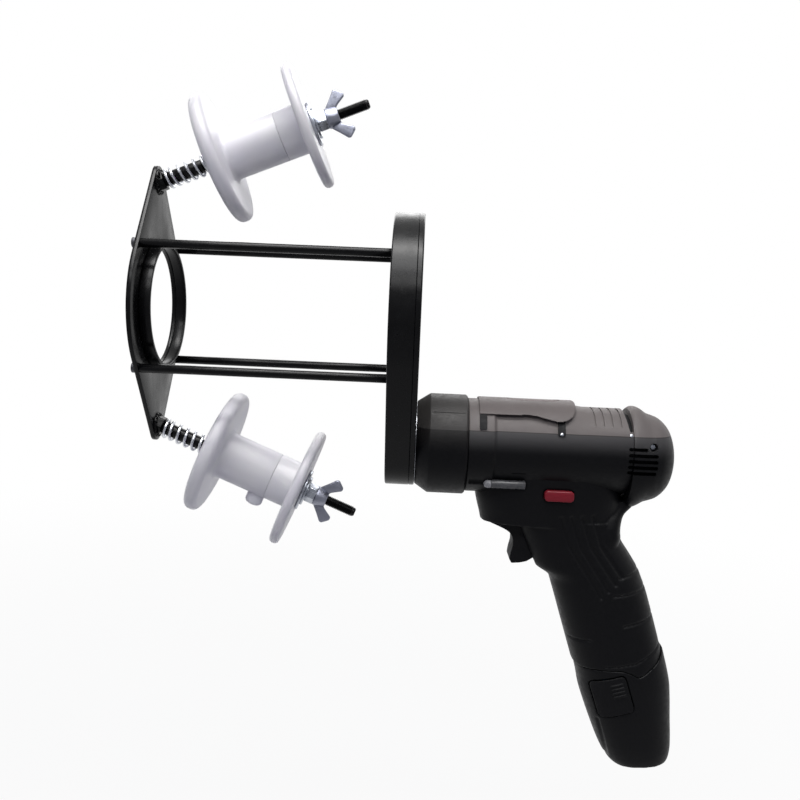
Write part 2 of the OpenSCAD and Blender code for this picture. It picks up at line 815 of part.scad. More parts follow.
// Trigger: a hooked finger piece with round front corners, and its plunger
module trigger() {
    color("#242426")
        on_driver() {
            intersection() {
                slab_y(-trigger_w, trigger_w)
                    polygon(concat(
                        curve([
                            [44.5, -42.8], [54, -47.2], [57.2, -51], [57.7, -55.5], [56.8, -60], [56.3, -64],
                            [57.5, -66]
                        ], 3),
                        [[62, -65.6], [66, -64.6], [70, -62], [70, -42.8]]
                    ));
                translate([0, 0, -70]) linear_extrude(40) rounded(44, 76, -trigger_w, trigger_w, 4);
            }
            translate([0, 0, -54]) bar_x(69, switch_x + 2, 2.5 - run_fit);
        }
}

module direction_button() {
    color("#b3131b")
        on_driver()
            slab_y(-23.3, 17.3)
                rounded(button_x, button_x + button_len, button_z, button_z + button_h, button_r);
}

// Work light: a clear bar with a round front end
module work_light() {
    color("#9fa4aa")
        on_driver() translate([0, -light_y, light_z])
            turned_x()
                intersection() {
                    union() {
                        translate([0, 40.6]) circle(light_r);
                        translate([0, 40.6]) square([light_r, 20.4]);
                    }
                    translate([0, 30]) square([5, 40]);
                }
}

// Outline of a latch on the near side of the battery, along the grip
module latch_block(play) {
    along_grip() slab_y(-40, -5) rounded(-20 - play, -0.3 + play, -17.3 - play, 4.2 + play, 2.5);
}

// Battery: a stick of cells in the grip above a moulded foot, with a pocket for a latch on each side
module battery_case() {
    color("#1a1a1c")
        on_driver()
            difference() {
                union() {
                    intersection() {
                        for (s = [0, 1]) mirror([0, s, 0]) half_loft(battery_sections());
                        beside_joint(-joint_gap / 2, -230);
                    }
                    grip_bar(20, 18.6, 11.4, -8, bay_top - 2);
                }
                grip_bar(18.6, 17.4, 10.2, cell_low, bay_top - 3.4);
                for (s = [0, 1])
                    mirror([0, s, 0])
                        difference() {
                            latch_block(0.1);
                            half_loft(swollen(latch_sections(), latch_floor));
                        }
            }
}

module battery_cells() {
    color("#2f6f8f")
        on_driver()
            along_grip()
                for (c = [[-9.2, -7.9], [9.2, -7.9], [0, 7.7]])
                    translate([bay_x + c[0], c[1], cell_low]) cylinder(d = cell_d, h = 65);
}

// Latch: a plate that follows the battery's side, with four finger ridges
module latch(s) {
    color("#28282a")
        on_driver() mirror([0, s, 0]) {
            intersection() {
                latch_block(0);
                difference() {
                    half_loft(swollen(latch_sections(), latch_out));
                    half_loft(swollen(latch_sections(), latch_back));
                }
            }
            intersection() {
                along_grip()
                    slab_y(-40, -5) for (k = [0:3]) rounded(-9.6, -2.4, -7 + 2.2 * k, -5.9 + 2.2 * k, 0.5);
                difference() {
                    half_loft(swollen(latch_sections(), latch_out + 0.6));
                    half_loft(latch_sections());
                }
            }
        }
}

module latch_left() latch(0);
module latch_right() latch(1);

front_plate();
guide_collar();
tie_rod(rod_spots[0]);  // tie_rod_1
tie_rod(rod_spots[1]);  // tie_rod_2
tie_rod(rod_spots[2]);  // tie_rod_3
tie_rod(rod_spots[3]);  // tie_rod_4
rod_screws();
rotor_plate();
head_gear();
bearing_outer();
bearing_balls();
bearing_inner();
hub_tube();
retaining_ring();
arm_housing();
arm_cover();
cover_screws();
drive_pinion();
output_spindle();
front_bush();
rear_bush();
stud(true);  // upper_stud
weld_nut(true);  // upper_weld_nut
spring(true);  // upper_spring
spool_body(true, 100);  // upper_spool_body
spool_cap(true);  // upper_spool_cap
wide_washer(true);  // upper_wide_washer
small_washer(true);  // upper_small_washer
hex_nut(true);  // upper_hex_nut
wing_nut(true, 0);  // upper_wing_nut
stud(false);  // lower_stud
weld_nut(false);  // lower_weld_nut
spring(false);  // lower_spring
spool_body(false, 0);  // lower_spool_body
spool_cap(false);  // lower_spool_cap
wide_washer(false);  // lower_wide_washer
small_washer(false);  // lower_small_washer
hex_nut(false);  // lower_hex_nut
wing_nut(false, 0);  // lower_wing_nut
nose_collar();
housing_left();
housing_right();
top_cover();
rear_cap();
gear_case();
planet(0);  // planet_1
planet(1);  // planet_2
planet(2);  // planet_3
motor_can();
armature();
switch_body();
trigger();
direction_button();
work_light();
battery_case();
battery_cells();
latch_left();
latch_right();
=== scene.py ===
import json
import math

import bmesh
import bpy
import numpy as np
from mathutils import Matrix, Vector


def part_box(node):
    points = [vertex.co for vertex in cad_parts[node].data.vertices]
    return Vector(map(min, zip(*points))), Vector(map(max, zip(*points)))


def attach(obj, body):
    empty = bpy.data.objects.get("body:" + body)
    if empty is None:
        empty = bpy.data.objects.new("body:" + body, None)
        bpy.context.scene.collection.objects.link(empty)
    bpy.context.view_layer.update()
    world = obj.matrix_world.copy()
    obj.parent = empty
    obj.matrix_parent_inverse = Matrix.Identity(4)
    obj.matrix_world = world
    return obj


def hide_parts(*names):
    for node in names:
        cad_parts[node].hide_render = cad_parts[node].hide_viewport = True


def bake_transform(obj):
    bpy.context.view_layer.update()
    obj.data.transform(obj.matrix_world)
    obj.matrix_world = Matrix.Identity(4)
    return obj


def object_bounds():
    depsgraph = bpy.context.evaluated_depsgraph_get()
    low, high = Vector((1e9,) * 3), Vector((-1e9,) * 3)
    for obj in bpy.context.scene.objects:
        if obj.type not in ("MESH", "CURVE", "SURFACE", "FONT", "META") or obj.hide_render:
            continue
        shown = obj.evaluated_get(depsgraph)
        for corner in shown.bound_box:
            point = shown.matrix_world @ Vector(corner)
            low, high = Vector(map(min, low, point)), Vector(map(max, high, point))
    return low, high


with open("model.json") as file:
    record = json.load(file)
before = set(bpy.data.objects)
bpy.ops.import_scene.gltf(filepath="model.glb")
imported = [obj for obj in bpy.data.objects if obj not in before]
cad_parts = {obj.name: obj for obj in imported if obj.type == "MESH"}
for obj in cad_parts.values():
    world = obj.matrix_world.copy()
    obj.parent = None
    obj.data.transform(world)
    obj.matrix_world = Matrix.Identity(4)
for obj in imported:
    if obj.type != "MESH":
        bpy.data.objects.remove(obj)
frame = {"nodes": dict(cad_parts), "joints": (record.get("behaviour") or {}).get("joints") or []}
cadBox = [list(corner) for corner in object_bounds()]
scene = bpy.context.scene
nodes = frame["nodes"]
joints = {j["name"]: j for j in frame["joints"]}
mm = 0.001  # meshes are drawn in millimetres and scaled when they become pieces
print("frame loaded:", len(nodes), "nodes")

# Places that the frame gives, in millimetres
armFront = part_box("arm_housing")[0].x / mm
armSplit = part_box("arm_cover")[0].x / mm
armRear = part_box("arm_cover")[1].x / mm
driveHeight = sum(corner.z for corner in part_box("nose_collar")) / 2 / mm
driverAt = Matrix.Translation((armRear, 0, driveHeight))
spinAlong = 63.5  # the spool joint's place on its spindle


def spindleAt(side):  # local X runs out along the spindle, from the middle of the front plate
    joint = joints[side + "_spool_spin"]
    out = Vector(joint["axis"]).normalized()
    start = Vector(joint["pos_m"]) / mm - out * spinAlong
    turn = Matrix((out, Vector((0, 1, 0)), out.cross(Vector((0, 1, 0))))).transposed().to_4x4()
    return Matrix.Translation(start) @ turn


# Mesh helpers
def meshFrom(name, bm):
    mesh = bpy.data.meshes.new(name)
    bm.to_mesh(mesh)
    bm.free()
    return mesh


def linked(name, data):
    made = bpy.data.objects.new(name, data)
    scene.collection.objects.link(made)
    return made


def rotation(angle, axis):
    return Matrix.Rotation(math.radians(angle), 4, axis)


def outward(bm):
    bmesh.ops.recalc_face_normals(bm, faces=bm.faces)
    return bm


def pushed(bm, vec):  # a flat mesh extruded along a vector
    made = bmesh.ops.extrude_face_region(bm, geom=bm.faces[:])["geom"]
    bmesh.ops.translate(bm, vec=vec, verts=[g for g in made if isinstance(g, bmesh.types.BMVert)])
    return outward(bm)


def sliced(bm, at, away):  # drops what lies beyond a plane and gives the edge that is left
    geom = bm.verts[:] + bm.edges[:] + bm.faces[:]
    return bmesh.ops.bisect_plane(bm, geom=geom, plane_co=at, plane_no=away, clear_outer=True)["geom_cut"]


def closedLoop(bm, points):
    verts = [bm.verts.new(p) for p in points]
    return verts, [bm.edges.new(pair) for pair in zip(verts, verts[1:] + verts[:1])]


def arc(centre, radius, start, end, steps):
    angles = [math.radians(start + (end - start) * k / steps) for k in range(steps + 1)]
    return [(centre[0] + radius * math.cos(a), centre[1] + radius * math.sin(a)) for a in angles]


def spun(outline, steps=72):  # a closed outline of (radius, along) points turned round local X
    bm = bmesh.new()
    verts, edges = closedLoop(bm, [(along, radius, 0) for radius, along in outline])
    bmesh.ops.spin(bm, geom=verts + edges, cent=(0, 0, 0), axis=(1, 0, 0), angle=math.tau, steps=steps,
                   use_merge=True)
    bmesh.ops.remove_doubles(bm, verts=bm.verts, dist=0.0005)
    bmesh.ops.dissolve_degenerate(bm, edges=bm.edges, dist=0.0005)
    return outward(bm)


def hollowBar(inner, outer, low, high, steps):
    return spun([(inner, low), (outer, low), (outer, high), (inner, high)], steps)


def barX(low, high, radius, steps=64):
    return hollowBar(0, radius, low, high, steps)


def hexagon(along, radius, turn=0):
    return [(along, y, z) for y, z in arc((0, 0), radius, turn, turn + 360, 6)[:-1]]


def prism(points, push):  # a flat outline of points pushed along a vector
    bm = bmesh.new()
    bm.faces.new(closedLoop(bm, points)[0])
    return pushed(bm, push)


def ringPlate(outline, holeRadius, low, high):  # a plate across X with a round hole on the axis
    bm = bmesh.new()
    rim = closedLoop(bm, [(low, y, z) for y, z in outline])[1]
    hole = closedLoop(bm, [(low, y, z) for y, z in arc((0, 0), holeRadius, 0, 360, 120)[:-1]])[1]
    bmesh.ops.bridge_loops(bm, edges=rim + hole)
    return pushed(bm, (high - low, 0, 0))


def bevelEdges(bm, width, segments=3, chosen=None, sharp=28):
    edges = [e for e in bm.edges if len(e.link_faces) == 2 and e.calc_face_angle(0) > math.radians(sharp)]
    edges = [e for e in edges if chosen is None or chosen(e)]
    bmesh.ops.bevel(bm, geom=edges, offset=width, offset_type="OFFSET", affect="EDGES", segments=segments,
                    profile=0.5, material=-1, clamp_overlap=True)
    return bm


def radiusOf(edge):  # distance of an edge's middle from local X
    middle = (edge.verts[0].co + edge.verts[1].co) / 2
    return math.hypot(middle.y, middle.z)


def atX(along):  # chooses the edges at a place on local X
    return lambda edge: all(abs(v.co.x - along) < 0.01 for v in edge.verts)


def atRing(radius, along):
    return lambda edge: abs(radiusOf(edge) - radius) < 0.1 and atX(along)(edge)


def merged(*parts):  # several meshes in one
    whole = bmesh.new()
    for bm in parts:
        mesh = meshFrom("part", bm)
        whole.from_mesh(mesh)
        bpy.data.meshes.remove(mesh)
    return whole


def moved(bm, matrix):
    bmesh.ops.transform(bm, matrix=matrix, verts=bm.verts)
    return bm


def shaped(bm, *steps):  # runs modifiers on a mesh and gives the result back
    raw = linked("raw", meshFrom("raw", bm))
    cutters = []
    for kind, values in steps:
        modifier = raw.modifiers.new(kind, kind)
        for key, value in values.items():
            if key == "object":
                value = linked("tool", meshFrom("tool", value))
                cutters.append(value)
            setattr(modifier, key, value)
    out = bmesh.new()
    out.from_object(raw, bpy.context.evaluated_depsgraph_get())
    for o in [raw] + cutters:
        bpy.data.objects.remove(o)
    return out


def combined(operation, tool):
    return ("BOOLEAN", {"object": tool, "operation": operation, "solver": "EXACT"})


def cut(tool):
    return combined("DIFFERENCE", tool)


def joined(tool):
    return combined("UNION", tool)


def within(tool):
    return combined("INTERSECT", tool)


def makePiece(name, bm, body, look, hides=(), place=Matrix(), sharp=32):
    bmesh.ops.transform(bm, matrix=Matrix.Scale(mm, 4) @ place, verts=bm.verts)
    mesh = meshFrom(name, bm)
    mesh.shade_smooth()
    mesh.set_sharp_from_angle(angle=math.radians(sharp))
    mesh.materials.append(look)
    piece = linked(name, mesh)
    if body:
        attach(piece, body)
    if hides:
        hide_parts(*hides)
    return piece


# Material helpers
def startLook(name, values):
    look = bpy.data.materials.new(name)
    look.use_nodes = True
    shader = look.node_tree.nodes["Principled BSDF"]
    for socket, value in values.items():
        shader.inputs[socket].default_value = value
    return look


def addNode(look, kind, **inputs):
    node = look.node_tree.nodes.new(kind)
    for socket, value in inputs.items():
        key = int(socket[1:]) if socket[1:].isdigit() else socket.replace("_", " ")
        if isinstance(value, bpy.types.NodeSocket):
            look.node_tree.links.new(value, node.inputs[key])
        else:
            node.inputs[key].default_value = value
    return node


def toShader(look, socket, output):
    look.node_tree.links.new(output, look.node_tree.nodes["Principled BSDF"].inputs[socket])


def objectPoint(look):
    return addNode(look, "ShaderNodeTexCoord").outputs["Object"]


def noiseValue(look, scale, detail=3.0, rough=0.55, point=None):
    node = addNode(look, "ShaderNodeTexNoise", Vector=point or objectPoint(look), Scale=scale, Detail=detail,
                   Roughness=rough)
    return node.outputs["Fac"]


def ranged(look, value, fromLow, fromHigh, low, high, smooth=True):
    node = addNode(look, "ShaderNodeMapRange", Value=value, From_Min=fromLow, From_Max=fromHigh, To_Min=low,
                   To_Max=high)
    node.interpolation_type = "SMOOTHSTEP" if smooth else "LINEAR"
    return node.outputs["Result"]


def mixColour(look, share, first, second):
    node = addNode(look, "ShaderNodeMix")
    node.data_type = "RGBA"
    links = look.node_tree.links
    for socket, value in ((node.inputs[0], share), (node.inputs[6], first), (node.inputs[7], second)):
        if isinstance(value, bpy.types.NodeSocket):
            links.new(value, socket)
        else:
            socket.default_value = (*value, 1.0) if isinstance(value, tuple) else value
    return node.outputs[2]


def addBump(look, height, distance, strength=1.0, before=None):
    node = addNode(look, "ShaderNodeBump", Height=height, Distance=distance, Strength=strength)
    if before is not None:
        look.node_tree.links.new(before, node.inputs["Normal"])
    return node.outputs["Normal"]


def mottled(look, scale, detail, dark, light, rough=0.55):  # two close colours in soft clouds
    toShader(look, "Base Color", mixColour(look, noiseValue(look, scale, detail, rough), dark, light))


def unevenGloss(look, scale, low, high):
    toShader(look, "Roughness", ranged(look, noiseValue(look, scale), 0.3, 0.7, low, high))


def fineGrain(look, scale, detail, distance, strength):
    toShader(look, "Normal", addBump(look, noiseValue(look, scale, detail), distance, strength))


def plainLook(name, values, clouds, gloss, grain):
    look = startLook(name, values)
    mottled(look, *clouds)
    unevenGloss(look, *gloss)
    fineGrain(look, *grain)
    return look


# Finishes
def blackEnamel():  # gloss black paint on steel, with faint orange peel and dust
    look = startLook("blackEnamel", {"Specular IOR Level": 0.15})
    dust = ranged(look, noiseValue(look, 70.0, 5.0, 0.65), 0.5, 0.8, 0.0, 1.0)
    toShader(look, "Base Color", mixColour(look, dust, (0.003, 0.003, 0.0035), (0.008, 0.008, 0.009)))
    unevenGloss(look, 120.0, 0.2, 0.3)
    peel = noiseValue(look, 900.0, 2.0, 0.5)
    toShader(look, "Normal", addBump(look, peel, 0.00004, 0.5))
    return look


def darkPlate():  # blackened steel of inner plates and screws
    return plainLook("darkPlate", {"Metallic": 1.0}, (160.0, 3.0, (0.05, 0.05, 0.055), (0.1, 0.1, 0.11)),
                     (220.0, 0.34, 0.5), (1500.0, 2.0, 0.00003, 0.5))


def zincPlate(name, dark, light):  # zinc on washers, nuts and springs
    return plainLook(name, {"Metallic": 1.0}, (260.0, 4.0, dark, light), (400.0, 0.2, 0.36),
                     (1800.0, 2.0, 0.00002, 0.6))


def castZinc():  # duller cast wing nuts
    return plainLook("castZinc", {"Metallic": 1.0}, (300.0, 5.0, (0.2, 0.21, 0.26), (0.34, 0.35, 0.41), 0.6),
                     (500.0, 0.32, 0.5), (1400.0, 3.0, 0.00006, 0.7))


def turnedSteel(name, dark, light):  # gear and bearing steel with fine turning marks
    look = startLook(name, {"Metallic": 1.0})
    mottled(look, 180.0, 4.0, dark, light)
    stretched = addNode(look, "ShaderNodeMapping", Vector=objectPoint(look))
    stretched.inputs["Scale"].default_value = (4.0, 1.0, 1.0)
    marks = noiseValue(look, 900.0, 2.0, 0.5, stretched.outputs["Vector"])
    toShader(look, "Roughness", ranged(look, marks, 0.3, 0.7, 0.22, 0.38))
    toShader(look, "Normal", addBump(look, marks, 0.00002, 0.6))
    return look


def milkNylon():  # milky white spools, a little lilac in the depth
    look = startLook("milkNylon", {"Subsurface Weight": 0.25, "Subsurface Scale": 0.004,
                                   "Subsurface Radius": (1.0, 0.9, 1.0), "Specular IOR Level": 0.4})
    cloud = ranged(look, noiseValue(look, 38.0, 3.0), 0.35, 0.7, 0.0, 1.0)
    toShader(look, "Base Color", mixColour(look, cloud, (0.8, 0.79, 0.84), (0.86, 0.85, 0.87)))
    unevenGloss(look, 300.0, 0.34, 0.46)
    fineGrain(look, 650.0, 2.0, 0.00005, 0.4)
    return look


def casePlastic(name, upper, lower, seam, paintedSheen):  # moulded plastic, lighter above a height: partly a two-tone parting and partly painted top light; below the parting a painted sheen fades to the lower colour
    look = startLook(name, {"Specular IOR Level": 0.12})
    point = objectPoint(look)
    height = addNode(look, "ShaderNodeSeparateXYZ", Vector=point).outputs["Z"]
    share = ranged(look, height, seam - 0.00012, seam + 0.00012, 0.0, 1.0)
    line = ranged(look, height, seam + 0.0004, seam + 0.0005, 0.25, 1.0)
    cloud = noiseValue(look, 60.0, 4.0)
    shade = mixColour(look, cloud, tuple(0.8 * c for c in upper), tuple(1.15 * c for c in upper))
    lined = mixColour(look, line, lower, shade)
    # painted sheen: a lit grey at the parting that fades to the lower colour 12 mm down, standing in for top light on
    # the dark barrel
    below = mixColour(look, ranged(look, height, seam - 0.012, seam + 0.001, 0.0, 1.0), lower, paintedSheen)
    toShader(look, "Base Color", mixColour(look, share, below, lined))
    unevenGloss(look, 400.0, 0.4, 0.52)
    fine = addNode(look, "ShaderNodeTexVoronoi", Vector=point, Scale=2600.0).outputs["Distance"]
    toShader(look, "Normal", addBump(look, fine, 0.00006, 0.35))
    return look


def gripRubber():
    clouds = (80.0, 4.0, (0.004, 0.004, 0.005), (0.008, 0.008, 0.009))
    return plainLook("gripRubber", {"Specular IOR Level": 0.1}, clouds, (300.0, 0.5, 0.65), (1800.0, 2.0, 0.00006, 0.5))


def colouredPlastic(name, dark, light, low, high):
    return plainLook(name, {"Specular IOR Level": 0.25}, (140.0, 3.0, dark, light), (500.0, low, high),
                     (1600.0, 2.0, 0.00003, 0.4))


seamHeight = (driveHeight + 11.2) * mm
enamel = blackEnamel()
plate = darkPlate()
zinc = zincPlate("zincPlate", (0.3, 0.32, 0.37), (0.5, 0.52, 0.56))
wire = zincPlate("springWire", (0.56, 0.58, 0.63), (0.8, 0.81, 0.83))
cast = castZinc()
gearSteel = turnedSteel("gearSteel", (0.3, 0.31, 0.33), (0.46, 0.47, 0.5))
raceSteel = turnedSteel("raceSteel", (0.55, 0.56, 0.58), (0.7, 0.71, 0.73))
bronze = turnedSteel("bronze", (0.42, 0.27, 0.1), (0.58, 0.4, 0.18))
copper = turnedSteel("copperWinding", (0.4, 0.17, 0.07), (0.6, 0.3, 0.14))
nylon = milkNylon()
# upper colours are partly the plastic's own two-tone and partly painted top light; the last colour is the painted sheen
# just below the parting
caseLook = casePlastic("caseTwoToneAndPaintedLight", (0.18, 0.161, 0.156), (0.0035, 0.0036, 0.0045), seamHeight, (0.07, 0.068, 0.07))
noseLook = casePlastic("noseTwoToneAndPaintedLight", (0.052, 0.049, 0.047), (0.003, 0.0031, 0.004), seamHeight, (0.014, 0.013, 0.013))
saddleGrey = (0.16, 0.14, 0.136)
saddleLook = casePlastic("saddleGrey", saddleGrey, saddleGrey, seamHeight - 0.1, saddleGrey)
rubber = gripRubber()
redLook = colouredPlastic("redButton", (0.2, 0.01, 0.02), (0.27, 0.015, 0.028), 0.3, 0.42)
inlayLook = colouredPlastic("saddleInlay", (0.03, 0.008, 0.008), (0.05, 0.012, 0.012), 0.35, 0.5)
barLook = colouredPlastic("barGrey", (0.07, 0.07, 0.074), (0.11, 0.11, 0.115), 0.22, 0.34)
tipLook = colouredPlastic("lightTip", (0.26, 0.26, 0.27), (0.36, 0.36, 0.37), 0.12, 0.2)
cellLook = colouredPlastic("cellWrap", (0.02, 0.1, 0.2), (0.04, 0.16, 0.28), 0.3, 0.45)
print("finishes made")

nodeLooks = {
    "rotor_plate hub_tube retaining_ring": plate,
    "head_gear drive_pinion output_spindle planet_1 planet_2 planet_3 motor_can gear_case": gearSteel,
    "bearing_outer bearing_inner bearing_balls": raceSteel,
    "front_bush rear_bush": bronze,
    "armature": copper,
    "switch_body": caseLook,
    "battery_cells": cellLook,
}
for names, look in nodeLooks.items():
    for name in names.split():
        nodes[name].data.materials.clear()
        nodes[name].data.materials.append(look)

# Front plate: a round middle with two drawn-out tips
plateSize = {"round": 48.0, "tip": 8.0, "tipAt": 68.8, "hole": 33.0, "bevel": 0.45}


def plateOutline(size):
    lean = math.degrees(math.asin((size["round"] - size["tip"]) / size["tipAt"]))
    return sum((arc((0, 0), size["round"], turn - lean, turn + lean, 20)
                + arc((0, tipAt), size["tip"], turn + lean, turn + 180 - lean, 12)
                for turn, tipAt in ((0, size["tipAt"]), (180, -size["tipAt"]))), [])


plateLow, plateHigh = (corner.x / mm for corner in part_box("front_plate"))
plateMesh = ringPlate(plateOutline(plateSize), plateSize["hole"], plateLow, plateHigh)
bevelEdges(plateMesh, plateSize["bevel"], 2)
makePiece("frontPlate", plateMesh, "head", enamel, ["front_plate"])

# Gear arm: housing and cover share one tear-shaped outline
armSize = {"round": 56.6, "low": 24.5, "housingHole": 50.3, "coverHole": 35.02, "edge": 0.9, "parting": 0.25}
armLean = math.degrees(math.asin((armSize["round"] - armSize["low"]) / -driveHeight))
armOutline = (arc((0, 0), armSize["round"], -armLean, 180 + armLean, 64)
              + arc((0, driveHeight), armSize["low"], 180 + armLean, 360 - armLean, 32))
housingMesh = ringPlate(armOutline, armSize["housingHole"], armFront, armSplit)
bevelEdges(housingMesh, armSize["edge"], 3, atX(armFront))
bevelEdges(housingMesh, armSize["parting"], 1, atX(armSplit))
makePiece("armHousing", housingMesh, "frame", enamel, ["arm_housing"])
coverMesh = ringPlate(armOutline, armSize["coverHole"], armSplit, armRear)
bevelEdges(coverMesh, armSize["edge"], 3, atX(armRear))
bevelEdges(coverMesh, armSize["parting"], 1, atX(armSplit))

# Tie rods, collar and the socket screws of rods and cover
rodSize = {"radius": 2.4, "seat": 0.5, "pin": 2.0, "pinLong": 3.5, "edge": 0.35,
           "spots": [(-32.0, 32.8), (-32.0, -32.8), (32.0, 32.8), (32.0, -32.8)]}
screwSize = {"head": 2.72, "shank": 1.48, "socket": 1.45, "rodFace": -1.8, "rodReach": 8.0, "sunk": 0.1, "seat": 1.58,
             "coverReach": 7.0, "well": 2.8, "wellDeep": 1.6, "spots": [(34, -46), (27, -57), (-34, -46), (-27, -57)]}
collarSize = {"inner": 33.0, "outer": 35.0, "long": 6.0, "edge": 0.5}


def tieRod(size):
    start, end, radius, pin = plateHigh, armFront + size["seat"], size["radius"], size["pin"]
    tip = end + size["pinLong"]
    line = [(0, start), (radius, start), (radius, end), (pin, end), (pin, tip), (0, tip)]
    return bevelEdges(spun(line, 48), size["edge"], 2)


def socketScrew(size, face, seat, foot):  # head from face to seat, shank on to foot, along X
    head = spun([(0, face), (size["head"], face), (size["head"], seat), (size["shank"], seat), (size["shank"], foot),
                 (0, foot)], 40)
    bevelEdges(head, 0.3, 2, atX(face))
    inward = math.copysign(1.0, seat - face)
    return shaped(head, cut(prism(hexagon(face - inward, size["socket"]), (2.0 * inward, 0, 0))))


def across(y, z):
    return Matrix.Translation((0, y, z))


for k, spot in enumerate(rodSize["spots"], 1):
    makePiece("tieRod%d" % k, tieRod(rodSize), "head", enamel, ["tie_rod_%d" % k], across(*spot))
rodEnds = (screwSize["rodFace"], 0, plateHigh + screwSize["rodReach"])
rodScrews = [moved(socketScrew(screwSize, *rodEnds), across(*spot)) for spot in rodSize["spots"]]
makePiece("rodScrews", merged(*rodScrews), "head", plate, ["rod_screws"])
collar = hollowBar(collarSize["inner"], collarSize["outer"], plateHigh, plateHigh + collarSize["long"], 128)
makePiece("guideCollar", bevelEdges(collar, collarSize["edge"], 3), "head", enamel, ["guide_collar"])
wells = [moved(barX(armRear - screwSize["wellDeep"], armRear + 1, screwSize["well"], 40), across(*spot))
         for spot in screwSize["spots"]]
coverMesh = shaped(coverMesh, cut(merged(*wells)))
makePiece("armCover", coverMesh, "frame", enamel, ["arm_cover"])
coverEnds = (armRear - screwSize["sunk"], armRear - screwSize["seat"], armSplit - screwSize["coverReach"])
coverScrews = [moved(socketScrew(screwSize, *coverEnds), across(*spot)) for spot in screwSize["spots"]]
makePiece("coverScrews", merged(*coverScrews), "frame", plate, ["cover_screws"])
print("plate and arm made")

# Spindles with their springs, spools and nuts
studSize = {"root": 2.52, "crest": 2.98, "pitch": 1.0, "start": -1.0, "end": 125.0, "around": 20,
            "guide": (3.7, 4.7, 27.5)}
footSize = {"nut": 5.77, "low": -1.2, "high": 4.6, "bead": 6.1, "thick": 1.15, "ripples": 17, "ripple": 0.22}
springSize = {"wire": 0.9, "mean": 5.0, "low": 4.8, "high": 34.3, "closed": 2.3, "turns": 5, "around": 28}
spoolSize = {"bore": 3.08, "hub": 13.6, "seamEdge": 0.3,  # of each half: flange radius and faces, seam, rounds
             "body": (36.0, 34.5, 42.5, 73.74, 3.4, 2.6), "cap": (34.5, 92.0, 86.5, 73.86, 2.4, 1.6)}
lugSize = {"at": 68.74, "radius": 5.0, "reach": 19.6, "sunk": 4.0, "round": 2.2, "turn": {"upper": 10, "lower": -90}}
nutSize = {"wide": (92.1, 93.7, 12.0), "small": (93.7, 95.0, 8.5), "hole": 3.2, "hex": (95.1, 100.3, 5.77), "turn": 15,
           "collar": [(2.9, -0.02), (5.0, -0.02), (5.0, 5.32), (4.4, 5.4), (2.9, 5.4)], "wing": 100.3}
wingSize = {"boss": [(3.0, 0), (5.6, 0), (5.6, 1.6), (4.4, 7), (3.0, 7)], "root": [(0.6, 3.2), (0.8, 5.4), (4.4, 9.2)],
            "tips": [((8.8, 11.6), 130, 45), ((11.3, 9.4), 45, -40)], "tip": 1.8, "heel": [(7.6, 5.0), (6.2, 3.2)],
            "half": 1.2}


def studMesh(size):
    bm = bmesh.new()
    low, high, pitch = size["root"], size["crest"], size["pitch"]
    section = [(0.0, low), (0.4 * pitch, high), (0.55 * pitch, high), (0.95 * pitch, low), (pitch, low)]
    verts = [bm.verts.new((size["start"] + x, r, 0)) for x, r in section]
    edges = [bm.edges.new(pair) for pair in zip(verts, verts[1:])]
    turns = int((size["end"] - size["start"]) / pitch) - 2
    bmesh.ops.spin(bm, geom=verts + edges, cent=(0, 0, 0), axis=(1, 0, 0), dvec=(pitch / size["around"], 0, 0),
                   angle=math.tau * turns, steps=turns * size["around"])
    bmesh.ops.remove_doubles(bm, verts=bm.verts, dist=0.002)
    outward(bm)
    core, end = low + 0.02, size["end"]
    tip = spun([(0, end - 2.6), (core, end - 2.6), (core, end - 0.7), (low - 0.6, end), (0, end)], 24)
    foot = barX(size["start"], size["start"] + 1.2, core, 24)
    radius, low, high = size["guide"]
    guide = bevelEdges(barX(low, high, radius, 48), 0.5, 3)
    return merged(bm, tip, foot, guide)


def footMesh(size, place):  # a nut on the spindle's foot, and the weld round it on the plate
    nut = prism(hexagon(size["low"], size["nut"]), (size["high"] - size["low"], 0, 0))
    moved(bevelEdges(nut, 0.5, 3), place)
    sliced(nut, (plateHigh, 0, 0), (-1, 0, 0))
    centre = place @ Vector(((plateHigh - place.translation.x) / place[0][0], 0, 0))
    bead = spun([(size["bead"] + r, x) for x, r in arc((0, 0), size["thick"], 0, 360, 14)[:-1]], 136)
    for v in bead.verts:
        turn = math.atan2(v.co.z, v.co.y)
        v.co.x += size["ripple"] * math.sin(size["ripples"] * turn) * (v.co.x > 0)
        v.co.y *= 1 + 0.03 * math.sin(3 * turn + 1)
    return merged(nut, moved(bead, Matrix.Translation(centre)))


def springMesh(size):
    bm = bmesh.new()
    rise = (size["high"] - size["low"] - 2 * size["wire"] - 2 * size["closed"]) / size["turns"]
    ring = [(size["low"] + size["wire"] + x, size["mean"] + r, 0)
            for x, r in arc((0, 0), size["wire"], 0, 360, 10)[:-1]]
    geom = sum(closedLoop(bm, ring), [])
    bmesh.ops.contextual_create(bm, geom=geom)
    for turns, step in ((1, size["closed"]), (size["turns"], rise), (1, size["closed"])):
        steps = turns * size["around"]
        made = bmesh.ops.spin(bm, geom=geom, cent=(0, 0, 0), axis=(1, 0, 0), angle=math.tau * turns, steps=steps,
                              dvec=(step / size["around"], 0, 0))
        geom = made["geom_last"]
    ends = [g for g in geom if isinstance(g, bmesh.types.BMEdge)]
    bmesh.ops.contextual_create(bm, geom=ends)
    return outward(bm)


def spoolHalf(size, flange, outside, inside, seam, rim, root):
    bore, hub = size["bore"], size["hub"]
    half = spun([(bore, outside), (flange, outside), (flange, inside), (hub, inside), (hub, seam), (bore, seam)], 96)
    bevelEdges(half, rim, 6, lambda e: radiusOf(e) > flange - 0.1)
    bevelEdges(half, root, 5, atRing(hub, inside))
    return bevelEdges(half, size["seamEdge"], 2, atRing(hub, seam))


